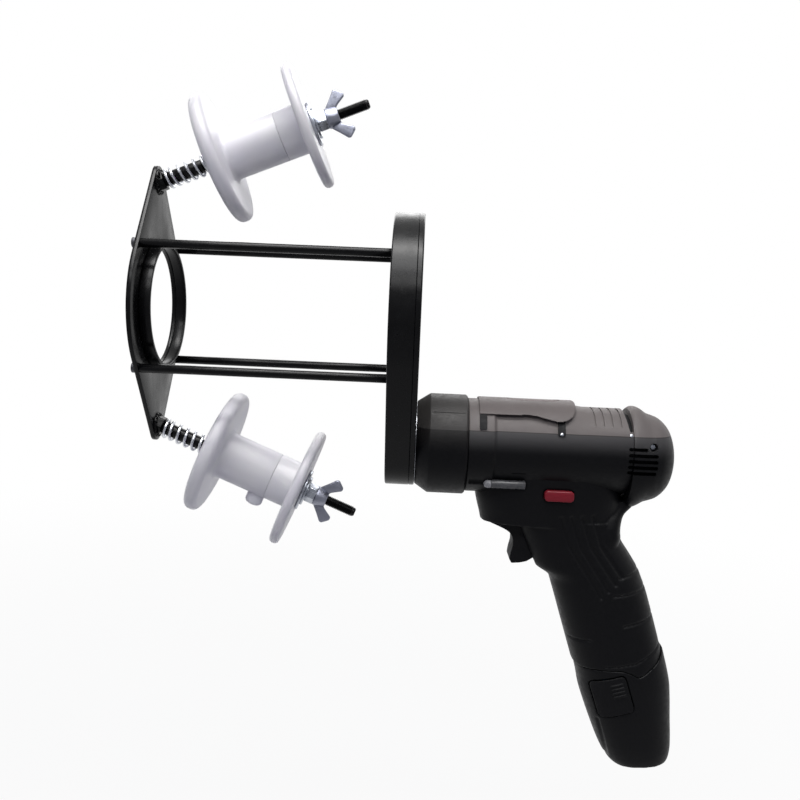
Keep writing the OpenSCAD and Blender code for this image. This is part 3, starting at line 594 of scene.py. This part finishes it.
def spoolBody(size, lug, side):
    knob = barX(size["hub"] - lug["sunk"], lug["reach"], lug["radius"], 40)
    bevelEdges(knob, lug["round"], 5, atX(lug["reach"]))
    toLug = Matrix.Translation((lug["at"], 0, 0)) @ rotation(lug["turn"][side], "X") @ rotation(90, "Z")
    return merged(spoolHalf(size, *size["body"]), moved(knob, toLug))


def washerMesh(low, high, radius):
    return bevelEdges(hollowBar(nutSize["hole"], radius, low, high, 64), 0.3, 2)


def hexNut(size):
    low, high, radius = size["hex"]
    nut = bevelEdges(prism(hexagon(low, radius, size["turn"]), (high - low, 0, 0)), 0.45, 3)
    return merged(nut, spun([(r, low + x) for r, x in size["collar"]], 40))


def wingNut(size, start):
    boss = bevelEdges(spun([(r, start + x) for r, x in size["boss"]], 48), 0.5, 3)
    tips = sum((arc(centre, size["tip"], first, last, 6) for centre, first, last in size["tips"]), [])
    leaf = [(start + x, -size["half"], z) for x, z in size["root"] + tips + size["heel"]]
    wings = []
    for turn in (0, 180):
        wing = bevelEdges(prism(leaf, (0, 2 * size["half"], 0)), 0.7, 3)
        wings.append(moved(wing, rotation(turn, "X")))
    return merged(boss, *wings)


for side in ("upper", "lower"):
    place = spindleAt(side)
    makePiece(side + "Stud", studMesh(studSize), "head", enamel, [side + "_stud"], place)
    makePiece(side + "Foot", footMesh(footSize, place), "head", enamel, [side + "_weld_nut"])
    spring = makePiece(side + "Spring", springMesh(springSize), None, wire, [side + "_spring"], place)
    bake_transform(spring)
    for name, node, body, mesh, look, slot, sharp in (
            ("SpoolBody", "_spool_body", "_spool", spoolBody(spoolSize, lugSize, side), nylon, "nylon", 40),
            ("SpoolCap", "_spool_cap", "_spool", spoolHalf(spoolSize, *spoolSize["cap"]), nylon, "nylon", 40),
            ("WideWasher", "_wide_washer", "_follower", washerMesh(*nutSize["wide"]), zinc, "zinc", 32),
            ("SmallWasher", "_small_washer", "_follower", washerMesh(*nutSize["small"]), zinc, "zinc", 32),
            ("HexNut", "_hex_nut", "_nuts", hexNut(nutSize), zinc, "zinc", 32),
            ("WingNut", "_wing_nut", "_nuts", wingNut(wingSize, nutSize["wing"]), cast, "zinc", 32)):
        makePiece(side + name, mesh, side + body, look, [side + node], place, sharp)
print("spindles made")

# Driver: the grip melted into one moulding, the barrel turned, both parted into two halves
gripRows = [  # height, front, rear, half width
    (-8, 41, 112, 19.3), (-18, 36.4, 116.4, 20.2), (-26, 35.2, 117.8, 20.3), (-32, 36.3, 118, 20),
    (-38, 38, 117.8, 19.3), (-42, 38.9, 117.3, 19)]
handleRows = [
    (-39, 59, 117.6, 19), (-43, 59.2, 117.2, 19), (-50, 62, 119.3, 19), (-58, 65.5, 124.8, 19.2), (-66, 70, 130, 19.6),
    (-72, 78.8, 132.7, 20), (-80, 82.3, 136, 20.3), (-104, 90.2, 143.8, 20.8), (-128, 98.1, 151.1, 21.5)]
webRows = [  # the fillet from the grip up to the rear cap
    (-27, 104, 125.6, 10.5), (-30, 104, 124.9, 11), (-32.2, 104, 122.6, 12.2), (-34, 104, 120.5, 13.5),
    (-36, 104, 119.1, 15), (-39, 104, 118.3, 16.2), (-42, 104, 117.9, 17), (-45, 104, 118, 17.2),
    (-48, 104, 118.4, 17), (-52, 104, 117.5, 16)]
batteryRows = [
    (-104, 91, 145, 20.8), (-128, 98.9, 152.1, 21.5), (-140, 101.9, 153.9, 21.6), (-152, 106.3, 154.8, 21.7),
    (-164, 111.2, 155.8, 21.7), (-172, 114.8, 156, 21.4), (-178, 118.4, 154.6, 20.4), (-182.4, 123, 150.5, 18)]
baseLine = [(100, -182.8), (170, -175.8)]
jointLine = [(60, -126), (95, -123.8), (107, -122.4), (122, -121.7), (127, -123.2), (131, -125.3), (134.5, -123.4),
             (142, -117.7), (147, -112), (175, -95)]
shellSize = {"round": 2.6, "around": 96, "voxel": 0.6, "smooth": 4, "gap": 0.1}
barrelSize = {"start": 28.7, "ring": 26.4, "ringEnd": 44.0, "seat": 24.8, "body": 24.2, "end": 118.2, "case": 22.6,
              "caseEnd": 38.6, "motor": 18.42, "spigot": 21.05, "spigotStart": 113.2}
ribSize = {"count": 4, "start": 97.1, "step": 4.7, "wide": 1.0, "floor": 23.5, "over": 27.0, "low": 16.0}
ventSize = {"left": 115.4, "high": 2.0, "corner": 0.95,  # height and rear end of each cooling slot
            "rows": [(3.9, 125.8), (0.7, 131.4), (-2.5, 131.4), (-5.7, 131.4), (-8.9, 130.8)]}
gripLine = {"mid": 124.6, "foot": -128.0, "lean": -19.0, "bay": 1.0}
slotSize = {"trigger": (45.0, 80.0, -67.0, -41.8, 9.0), "switch": (76.0, 106.0, -67.0, -40.0, 13.1),
            "bay": (20.2, 18.8, 11.6, -20.0, 52.0), "stick": (20.0, 18.6, 11.4, 4.6, 50.0),
            "neck": (14.0, 14.0, 8.0, -6.0, 5.4)}
wedgeSlot = [(114.6, 30), (120, 30), (120, 14.7), (117.1, 13), (116, 14.6), (114.6, 22.7)]
buttonSize = {"box": (71.8, 87.8, -25.9, -20.1), "corner": 2.0, "near": -23.3, "far": 17.3}
markSize = {"box": (53.0, 61.0, -11.6, -11.0), "corner": 0.29, "floor": -21.6}
lightSize = {"side": -20.2, "height": -18.0, "radius": 2.4, "round": 40.6, "part": 42.3, "edge": 0.3, "end": 61.0}


def smoothRows(rows, per):  # more rows on a smooth curve through the given ones
    out = []
    for k in range(len(rows) - 1):
        a, b, c, d = (rows[min(max(k + s, 0), len(rows) - 1)] for s in (-1, 0, 1, 2))
        for t in (j / per for j in range(per)):
            out.append(tuple(0.5 * (2 * q + (r - p) * t + (2 * p - 5 * q + 4 * r - s) * t * t
                                    + (3 * q - p - 3 * r + s) * t ** 3) for p, q, r, s in zip(a, b, c, d)))
    return out + [rows[-1]]


def swollen(rows, by):  # the same rows with an even margin
    return [(height, front - by, rear + by, half + by) for height, front, rear, half in rows]


def loft(rows, size):  # rounded sections, one ring extruded from the last
    bm = bmesh.new()
    ring = bmesh.ops.create_circle(bm, segments=size["around"], radius=1.0)["verts"]
    for k, (height, front, rear, half) in enumerate(rows):
        if k:
            edges = [bm.edges.get(pair) for pair in zip(ring, ring[1:] + ring[:1])]
            made = set(bmesh.ops.extrude_edge_only(bm, edges=edges)["geom"])
            ring = [next(e.other_vert(v) for e in v.link_edges if e.other_vert(v) in made) for v in ring]
        for j, v in enumerate(ring):
            c, s = math.cos(math.tau * j / len(ring)), math.sin(math.tau * j / len(ring))
            power = 2 / size["round"]
            v.co = ((front + rear) / 2 + (rear - front) / 2 * math.copysign(abs(c) ** power, c),
                    half * math.copysign(abs(s) ** power, s), height)
    bmesh.ops.holes_fill(bm, edges=bm.edges)
    return outward(bm)


def sidePrism(points, half, low=None):  # an outline of (u, w) points across the driver's width
    low = -half if low is None else low
    return prism([(u, low, w) for u, w in points], (0, half - low, 0))


def boxAcross(left, right, low, high, half):
    return sidePrism([(left, low), (right, low), (right, high), (left, high)], half)


def roundedBox(left, right, low, high, corner, steps=6):
    a, b, c, d = left + corner, right - corner, low + corner, high - corner
    return (arc((b, d), corner, 0, 90, steps) + arc((a, d), corner, 90, 180, steps)
            + arc((a, c), corner, 180, 270, steps) + arc((b, c), corner, 270, 360, steps))


def grown(box, by):
    left, right, low, high = box
    return left - by, right + by, low - by, high + by


def arcPlate(inner, outer, outline):  # a curved plate on both sides of the driver within a (u, w) outline
    low, high = min(u for u, w in outline) - 1, max(u for u, w in outline) + 1
    return shaped(hollowBar(inner, outer, low, high, 160), within(sidePrism(outline, 40)))


alongGrip = Matrix.Translation((gripLine["mid"], 0, gripLine["foot"])) @ rotation(gripLine["lean"], "Y")


def gripBar(depth, width, corner, low, high):  # a bar with round corners along the grip
    left, right = gripLine["bay"] - depth, gripLine["bay"] + depth
    bar = prism([(x, y, low) for x, y in roundedBox(left, right, -width, width, corner)], (0, 0, high - low))
    return moved(bar, alongGrip)


def remeshed(size):
    return [("REMESH", {"mode": "VOXEL", "voxel_size": size["voxel"]}),
            ("SMOOTH", {"factor": 0.5, "iterations": size["smooth"]})]


def closedTo(line, lift, far):  # the space between a line and a height
    return [(u, w + lift) for u, w in line] + [(line[-1][0], far), (line[0][0], far)]


def distanceTo(points, line):  # least distance of many (u, w) points to a line of points
    best = np.full(len(points), 1e9)
    for a, b in zip(np.array(line[:-1], float), np.array(line[1:], float)):
        along = np.clip(((points - a) @ (b - a)) / ((b - a) @ (b - a)), 0, 1)
        best = np.minimum(best, np.linalg.norm(points - a - along[:, None] * (b - a), axis=1))
    return best


def carve(bm, grooves):  # presses soft grooves into the side faces
    bm.normal_update()
    verts = list(bm.verts)
    place = np.array([v.co for v in verts])
    depth = np.zeros(len(verts))
    for line, width, deep in grooves:
        near = np.clip(1 - distanceTo(place[:, [0, 2]], line) / width, 0, 1)
        depth = np.maximum(depth, deep * near * near * (3 - 2 * near))
    side = np.abs(place[:, 1])
    depth *= np.clip((side - 6) / 5, 0, 1) + (place[:, 0] > 117) * np.clip((11 - side) / 5, 0, 1)
    for v, d in zip(verts, depth):
        if d > 0.001:
            v.co -= v.normal * d
    return bm


gripGrooves = [([(82 + 6 * k, -36 + 0.5 * k), (88 + 6 * k, -52), (107 + 3.8 * k, -80 + 3.8 * k)], 1.8, 0.9)
               for k in range(4)]
gripCreases = [([(117, -69), (128, -66.5), (140, -64)], 1.4, 0.7), ([(114, -79), (131, -76.5), (146, -72)], 1.4, 0.7),
               ([(121, -96), (136, -92.5), (152, -88)], 1.4, 0.7), ([(88, -107.5), (103, -105.7)], 1.3, 0.6),
               ([(112, -120.2), (119, -119.5), (129, -117.2), (140, -111), (152, -103)], 1.1, 0.6)]
footCreases = [([(111, -153), (114, -162), (117.5, -173), (119, -178)], 1.3, 0.6)]


def ribRings(size):  # cooling grooves over the top of the barrel
    rings = []
    for k in range(size["count"]):
        low, high = (size["start"] + size["step"] * k + wide for wide in (0, size["wide"]))
        ring = hollowBar(size["floor"], size["over"], low, high, 96)
        sliced(ring, (0, 0, size["low"]), (0, 0, -1))
        bmesh.ops.holes_fill(ring, edges=ring.edges)
        rings.append(outward(ring))
    return merged(*rings)


def ventSlots(size):
    return merged(*[sidePrism(roundedBox(size["left"], rear, low, low + size["high"], size["corner"]), 40)
                    for low, rear in size["rows"]])


def buttonHole(size):
    return sidePrism(roundedBox(*grown(size["box"], 0.15), size["corner"] + 0.15), 40)


def lightGroove(size):
    return moved(barX(30, size["end"] + 0.2, size["radius"] + 0.1, 32), across(size["side"], size["height"]))


def driverGrip(size):
    steps = [joined(loft(smoothRows(handleRows, 4), size)), joined(loft(smoothRows(webRows, 4), size)),
             cut(boxAcross(*slotSize["trigger"])), cut(boxAcross(*slotSize["switch"])),
             cut(gripBar(*slotSize["bay"])),
             cut(sidePrism(closedTo(jointLine, 0.1, -230), 40)), cut(buttonHole(buttonSize)),
             cut(lightGroove(lightSize)), cut(barX(20, 125, 20))]
    return carve(shaped(loft(smoothRows(gripRows, 4), size), *steps, *remeshed(size)), gripGrooves + gripCreases)


def driverBarrel(size):
    tube = spun([(size["case"], size["start"]), (size["ring"], size["start"]), (size["ring"], size["ringEnd"] - 1.5),
                 (size["seat"], size["ringEnd"]), (size["seat"], 89), (size["body"], 93), (size["body"], size["end"]),
                 (size["spigot"], size["end"]), (size["spigot"], size["spigotStart"]),
                 (size["motor"], size["spigotStart"]), (size["motor"], size["caseEnd"]),
                 (size["case"], size["caseEnd"])], 160)
    bevelEdges(tube, 0.5, 3, lambda e: radiusOf(e) > size["case"] + 1)
    mark = sidePrism(roundedBox(*markSize["box"], markSize["corner"]), markSize["floor"], -40)
    return shaped(tube, cut(ribRings(ribSize)), cut(sidePrism(wedgeSlot, 40)), cut(buttonHole(buttonSize)),
                  cut(lightGroove(lightSize)), cut(mark), cut(ventSlots(ventSize)))


def halfOf(whole, side, gap):
    half = whole.copy()
    parted = sliced(half, (0, side * gap, 0), (0, -side, 0))
    rim = [g for g in parted if isinstance(g, bmesh.types.BMEdge)]
    bmesh.ops.triangle_fill(half, edges=rim, use_beauty=True)
    return outward(half)


grip, barrel = driverGrip(shellSize), driverBarrel(barrelSize)
for name, side, node in (("housingLeft", -1, "housing_left"), ("housingRight", 1, "housing_right")):
    half = merged(*[halfOf(whole, side, shellSize["gap"]) for whole in (grip, barrel)])
    makePiece(name, half, "frame", caseLook, [node], driverAt, 40)
grip.free()
barrel.free()
print("housing made")

# Nose collar and rear cap
noseLine = [(22.6, 0.2), (23.4, 0.2), (27.4, 6.2), (28.2, 7.5), (28.2, 27.5), (27.2, 28.5), (22.6, 28.5)]
noseMark = arcPlate(27.95, 29, roundedBox(8.2, 27, 19.9, 20.3, 0.19))
nose = shaped(bevelEdges(spun(noseLine, 128), 0.5, 3), cut(noseMark))
makePiece("noseCollar", nose, "frame", noseLook, ["nose_collar"], driverAt)
capDome = [(27.4, 118.4), (28.7, 120), (28.8, 122.5), (27.6, 125.4), (25.4, 128.7), (24.2, 132.3), (22.9, 135.5),
           (20.4, 138.7), (16.8, 141.5), (11, 143.7), (4, 144.5), (0, 144.6)]
capInside = [(0, 141.8), (10, 140.9), (17, 137.7), (20.8, 133.2), (22, 128.6), (22, 120.4), (17.5, 120.4),
             (17.5, 118.4)]
capSize = {"drop": 2.9, "half": 24.8, "screw": (128.9, 6.4), "well": 2.3, "floor": 18.5, "head": 20.6}


def sideways(u, w, side):  # local X points out of one side of the driver
    return Matrix.Translation((u, 0, w)) @ rotation(90 * side, "Z")


def rearCap(size):
    cap = spun(smoothRows(capDome, 4) + capInside, 128)
    for v in cap.verts:  # flared above and below, flush with the barrel at the sides
        v.co.y *= min(1.0, size["half"] / max(math.hypot(v.co.y, v.co.z), 1.0))
    moved(cap, Matrix.Translation((0, 0, -size["drop"])))
    wells = [moved(barX(size["floor"], 40, size["well"], 40), sideways(*size["screw"], side)) for side in (-1, 1)]
    return shaped(cap, cut(ventSlots(ventSize)), cut(merged(*wells)))


def crossScrew(low, high, radius):  # a round head with a crossed recess, looking along local X
    head = spun([(0, low), (radius, low), (radius, high - 0.7), (0.6 * radius, high), (0, high)], 40)
    bevelEdges(head, 0.25, 2)
    floor, top, half, reach = high - 0.9, high + 1, 0.28, 0.62 * radius
    corners = [(floor, -half, reach), (floor, half, reach), (top, half, reach), (top, -half, reach)]
    blades = [prism(corners, (0, 0, -2 * reach)) for k in range(2)]
    moved(blades[1], rotation(90, "X"))
    return shaped(head, *[cut(blade) for blade in blades])


makePiece("rearCap", rearCap(capSize), "frame", caseLook, ["rear_cap"], driverAt)
screws = [moved(crossScrew(capSize["floor"] + 0.02, capSize["head"], 2.15), sideways(*capSize["screw"], side))
          for side in (-1, 1)]
makePiece("capScrews", merged(*screws), "frame", zinc, (), driverAt)
# a closed black sheet inside the cap behind the vent slots, standing in for the shade inside
shadeSheetLine = [(19.4, 119.2), (20.2, 119.2), (20.2, 133), (19, 134.2), (0, 134.2), (0, 133), (18.4, 133), (19.4, 132)]
shadeSheetPlace = driverAt @ Matrix.Translation((0, 0, -capSize["drop"]))
makePiece("ventShadeSheet", bevelEdges(spun(shadeSheetLine, 96), 0.2, 2), "frame", rubber, (), shadeSheetPlace)
spigot = bevelEdges(hollowBar(18.7, 21, 113.4, 119.4, 96), 0.3, 2)
makePiece("capSpigot", spigot, "frame", rubber, (), driverAt)
print("nose and cap made")

# Saddle over the barrel, with an inlay, clip legs and pins
saddleSide = [(34.2, 20.0), (50, 20.2), (63, 20.4), (70, 19.1), (76.5, 17.9), (82, 18.5), (86, 21.6), (87.6, 25.2)]
saddleSize = {"outer": 27.6, "front": 26.45, "inner": 24.85, "step": 44.2, "ends": (34, 88), "voxel": 0.4, "smooth": 3,
              "slot": (50, 80, -5, 5), "slotCorner": 4.9, "slotFloor": 26.7}
legs = [(24.86, 25.7, (77.0, 81.0, 10.6, 19.0)), (26.46, 27.2, (34.4, 38.4, 12.4, 20.4))]
pinSize = {"spots": [(79.0, 11.4, 25.7), (116.9, 12.2, 24.2)], "radius": 0.8, "deep": 1.0, "dome": 0.5}
inlaySize = {"box": (50.2, 79.8, -4.8, 4.8), "corner": 4.7, "low": 26.2, "high": 0.9}


def saddleMesh(size):
    low, high = size["ends"]
    tube = spun([(size["inner"], size["step"]), (size["inner"], high), (size["outer"], high), (size["outer"], low),
                 (size["front"], low), (size["front"], size["step"])], 160)
    side = smoothRows(saddleSide, 4) + [(87.6, 31), (34.2, 31)]
    slot = prism([(u, v, size["slotFloor"]) for u, v in roundedBox(*size["slot"], size["slotCorner"])], (0, 0, 5))
    return shaped(tube, within(sidePrism(side, 40)), cut(slot), *remeshed(size))


def pinMesh(size, u, w, radius, side):  # a small domed pin standing on the barrel
    out = Vector((0, side * math.sqrt(radius * radius - w * w), w))
    shank = [(0, -size["deep"]), (size["radius"], -size["deep"]), (size["radius"], 0.0)]
    dome = spun(shank + [(r, x) for x, r in arc((0, 0), size["dome"], 80, 0, 6)], 24)
    turn = Vector((1, 0, 0)).rotation_difference(out).to_matrix().to_4x4()
    return moved(dome, Matrix.Translation((u, out.y, w)) @ turn)


makePiece("saddle", saddleMesh(saddleSize), "frame", saddleLook, ["top_cover"], driverAt, 50)
inlayLine = roundedBox(*inlaySize["box"], inlaySize["corner"])
inlay = prism([(u, v, inlaySize["low"]) for u, v in inlayLine], (0, 0, inlaySize["high"]))
makePiece("saddleInlay", bevelEdges(inlay, 0.2, 2, sharp=50), "frame", inlayLook, (), driverAt)
legMeshes = [arcPlate(inner, outer, roundedBox(*box, 0.7)) for inner, outer, box in legs]
makePiece("saddleLegs", merged(*legMeshes), "frame", rubber, (), driverAt)
pins = [pinMesh(pinSize, *spot, side) for spot in pinSize["spots"] for side in (-1, 1)]
makePiece("saddlePins", merged(*pins), "frame", zinc, (), driverAt)
print("saddle made")

# Trigger, button and light
triggerSize = {"front": [(44.5, -43), (54, -47.2), (57.2, -51), (57.7, -55.5), (56.8, -60), (56.3, -64)],
               "rear": [(57.5, -66), (62, -65.6), (66, -64.6), (70, -62), (70, -43)], "half": 8.3, "edge": 1.6,
               "stem": (69, 82, 2.4), "stemHeight": -54}
triggerLine = smoothRows(triggerSize["front"], 4) + triggerSize["rear"]
trigger = bevelEdges(sidePrism(triggerLine, triggerSize["half"]), triggerSize["edge"], 4, sharp=40)
stem = moved(barX(*triggerSize["stem"], 24), across(0, triggerSize["stemHeight"]))
makePiece("trigger", merged(trigger, stem), "trigger_lever", rubber, ["trigger"], driverAt)
button = sidePrism(roundedBox(*buttonSize["box"], buttonSize["corner"]), buttonSize["far"], buttonSize["near"])
makePiece("directionButton", bevelEdges(button, 0.6, 3, sharp=50), "selector", redLook,
          ["direction_button"], driverAt)
lightPlace = driverAt @ across(lightSize["side"], lightSize["height"])
lightBar = bevelEdges(barX(lightSize["part"], lightSize["end"], lightSize["radius"], 40), 0.25, 2)
makePiece("lightBar", lightBar, "frame", barLook, ["work_light"], lightPlace)
radius, part, edge = lightSize["radius"], lightSize["part"], lightSize["edge"]
tipLine = [(r, u) for u, r in arc((lightSize["round"], 0), radius, 180, 90, 8)]
tipLine += [(radius, part - edge), (radius - edge, part), (0, part)]
makePiece("lightTip", spun(tipLine, 40), "frame", tipLook, (), lightPlace)

# Battery foot with its stick of cells and the two latches
latchSize = {"box": (-20.0, -0.3, -17.3, 4.2), "corner": 2.5, "out": 0.6, "back": -0.7, "floor": -3.6, "voxel": 0.3,
             "smooth": 3, "ridges": 4, "ridge": (-9.6, -2.4, -7.0, -5.9), "ridgeStep": 2.2}
latchRows = smoothRows(batteryRows[:5], 6)


def gripBlock(box, corner, side):  # a rounded block on one side of the grip
    return moved(prism([(x, side * 5, z) for x, z in roundedBox(*box, corner)], (0, side * 35, 0)), alongGrip)


def latchMesh(size, side):
    left, right, low, high = size["ridge"]
    rises = [size["ridgeStep"] * k for k in range(size["ridges"])]
    bars = merged(*[gripBlock((left, right, low + rise, high + rise), 0.5, side) for rise in rises])
    ridges = shaped(loft(swollen(latchRows, size["out"] + 0.6), shellSize), within(bars))
    pad = loft(swollen(latchRows, size["out"]), shellSize)
    return shaped(pad, within(gripBlock(size["box"], size["corner"], side)), joined(ridges),
                  cut(loft(swollen(latchRows, size["back"]), shellSize)), *remeshed(size))


def latchPocket(size, side):
    block = gripBlock(grown(size["box"], 0.3), size["corner"] + 0.3, side)
    return shaped(block, cut(loft(swollen(latchRows, size["floor"]), shellSize)))


foot = shaped(loft(smoothRows(batteryRows, 4), shellSize), cut(sidePrism(closedTo(jointLine, -0.1, -60), 40)),
              cut(sidePrism(closedTo(baseLine, 0, -220), 40)), cut(latchPocket(latchSize, -1)),
              cut(latchPocket(latchSize, 1)), *remeshed(shellSize))
stick = bevelEdges(gripBar(*slotSize["stick"]), 0.8, 3, sharp=60)
battery = merged(carve(foot, footCreases), stick, gripBar(*slotSize["neck"]))
makePiece("batteryCase", battery, "battery", caseLook, ["battery_case"], driverAt, 50)
for name, body, node, side in (("latchLeft", "left_latch", "latch_left", -1),
                               ("latchRight", "right_latch", "latch_right", 1)):
    makePiece(name, latchMesh(latchSize, side), body, rubber, [node], driverAt, 50)
print("driver made")

# Light, floor and camera
floorSize = {"half": 12.0, "middle": 0.15, "drop": 0.073}  # below a drawn battery
floorLook = startLook("paleFloor", {"Base Color": (0.45, 0.45, 0.48, 1.0), "Roughness": 0.9, "Specular IOR Level": 0.1})


def mathNode(owner, operation, first, second):
    node = addNode(owner, "ShaderNodeMath", i0=first, i1=second)
    node.operation = operation
    return node.outputs[0]


def seenShare(owner, along, dimAt, fullAt):  # rays from the camera, off gloss or through glass, less gloss up front
    rays = addNode(owner, "ShaderNodeLightPath").outputs
    gloss = mathNode(owner, "MULTIPLY", rays["Is Glossy Ray"], ranged(owner, along, dimAt, fullAt, 0.25, 1.0))
    direct = mathNode(owner, "MAXIMUM", rays["Is Camera Ray"], rays["Is Transmission Ray"])
    return mathNode(owner, "MAXIMUM", direct, gloss)


def mixInto(tree, share, first, second, end):  # joins two shaders into the output
    mix = tree.nodes.new("ShaderNodeMixShader")
    for output, socket in zip((share, first.outputs[0], second.outputs[0]), mix.inputs):
        tree.links.new(output, socket)
    tree.links.new(mix.outputs[0], tree.nodes[end].inputs[0])


def paleFloor(look, height):
    tree = look.node_tree
    glow = tree.nodes.new("ShaderNodeEmission")
    point = objectPoint(look)
    away = addNode(look, "ShaderNodeVectorMath", i0=point)
    away.operation = "LENGTH"
    near = ranged(look, away.outputs["Value"], 0.25, 1.1, 0.93, 1.0)  # the shadow stays near the object
    depth = addNode(look, "ShaderNodeSeparateXYZ", Vector=point).outputs["Y"]
    share = mathNode(look, "MULTIPLY", near, seenShare(look, depth, -0.4, 0.05))
    mixInto(tree, share, tree.nodes["Principled BSDF"], glow, "Material Output")
    bm = bmesh.new()
    middle = Matrix.Translation((floorSize["middle"], 0, height))
    bmesh.ops.create_grid(bm, x_segments=1, y_segments=1, size=floorSize["half"], matrix=middle)
    floor = linked("floor", meshFrom("floor", bm))
    floor.data.materials.append(look)


def paleWorld():
    world = bpy.data.worlds.new("studio")
    scene.world = world
    world.use_nodes = True
    tree = world.node_tree
    fill = tree.nodes["Background"]
    fill.inputs["Color"].default_value = (0.84, 0.87, 1.0, 1.0)
    fill.inputs["Strength"].default_value = 0.25
    pale = tree.nodes.new("ShaderNodeBackground")
    pale.inputs["Color"].default_value = (1.0, 1.0, 1.0, 1.0)
    way = addNode(world, "ShaderNodeTexCoord").outputs["Generated"]
    depth = addNode(world, "ShaderNodeSeparateXYZ", Vector=way).outputs["Y"]
    mixInto(tree, seenShare(world, depth, -0.8, 0.1), fill, pale, "World Output")


lampAim = (0.14, 0, -0.05)
lampSizes = [  # place, width and height, power, colour, and whether it lights more than gloss
    ("topSoftbox", (0.12, -0.2, 0.75), (0.8, 0.14), 3.6, (1.0, 0.98, 0.96), True),
    ("gleamSoftbox", (0.12, -0.3, 0.78), (0.8, 0.62), 14.0, (1.0, 1.0, 1.0), False),
    ("frontSoftbox", (0.1, -0.75, 0.6), (0.9, 0.18), 3.1, (1.0, 1.0, 1.0), True),
    ("rearSoftbox", (0.1, 0.85, 0.5), (0.9, 0.4), 2.8, (1.0, 1.0, 1.0), True)]


def areaLamp(name, at, size, power, colour, lights, target):
    data = bpy.data.lights.new(name, "AREA")
    data.shape = "RECTANGLE"
    data.size, data.size_y = size
    data.energy = power
    data.color = colour
    lamp = linked(name, data)
    aim = (Vector(target) - Vector(at)).to_track_quat("-Z", "Y")
    lamp.matrix_world = Matrix.Translation(at) @ aim.to_matrix().to_4x4()
    lamp.visible_diffuse = lights


scene.view_settings.view_transform = "Standard"
paleFloor(floorLook, cadBox[0][2] - floorSize["drop"])
paleWorld()
for lamp in lampSizes:
    areaLamp(*lamp, lampAim)
cameraFit = {"at": (150.19, -476.93, 10.12), "yaw": -0.0201, "pitch": -0.1206, "roll": 0.0419, "focal": 846.2,
             "frame": 800.0}


def placeCamera(fit):
    yaw, pitch, roll = fit["yaw"], fit["pitch"], fit["roll"]
    ahead = Vector((math.sin(yaw) * math.cos(pitch), math.cos(yaw) * math.cos(pitch), math.sin(pitch)))
    right = Vector((math.cos(yaw), -math.sin(yaw), 0))
    up = right.cross(ahead)
    turnedRight = math.cos(roll) * right + math.sin(roll) * up
    turnedUp = math.cos(roll) * up - math.sin(roll) * right
    data = bpy.data.cameras.new("camera")
    data.sensor_width = 36.0
    data.lens = data.sensor_width * fit["focal"] / fit["frame"]
    scene.camera = linked("camera", data)
    turn = Matrix((turnedRight, turnedUp, -ahead)).transposed().to_4x4()
    scene.camera.matrix_world = Matrix.Translation(Vector(fit["at"]) * mm) @ turn


placeCamera(cameraFit)
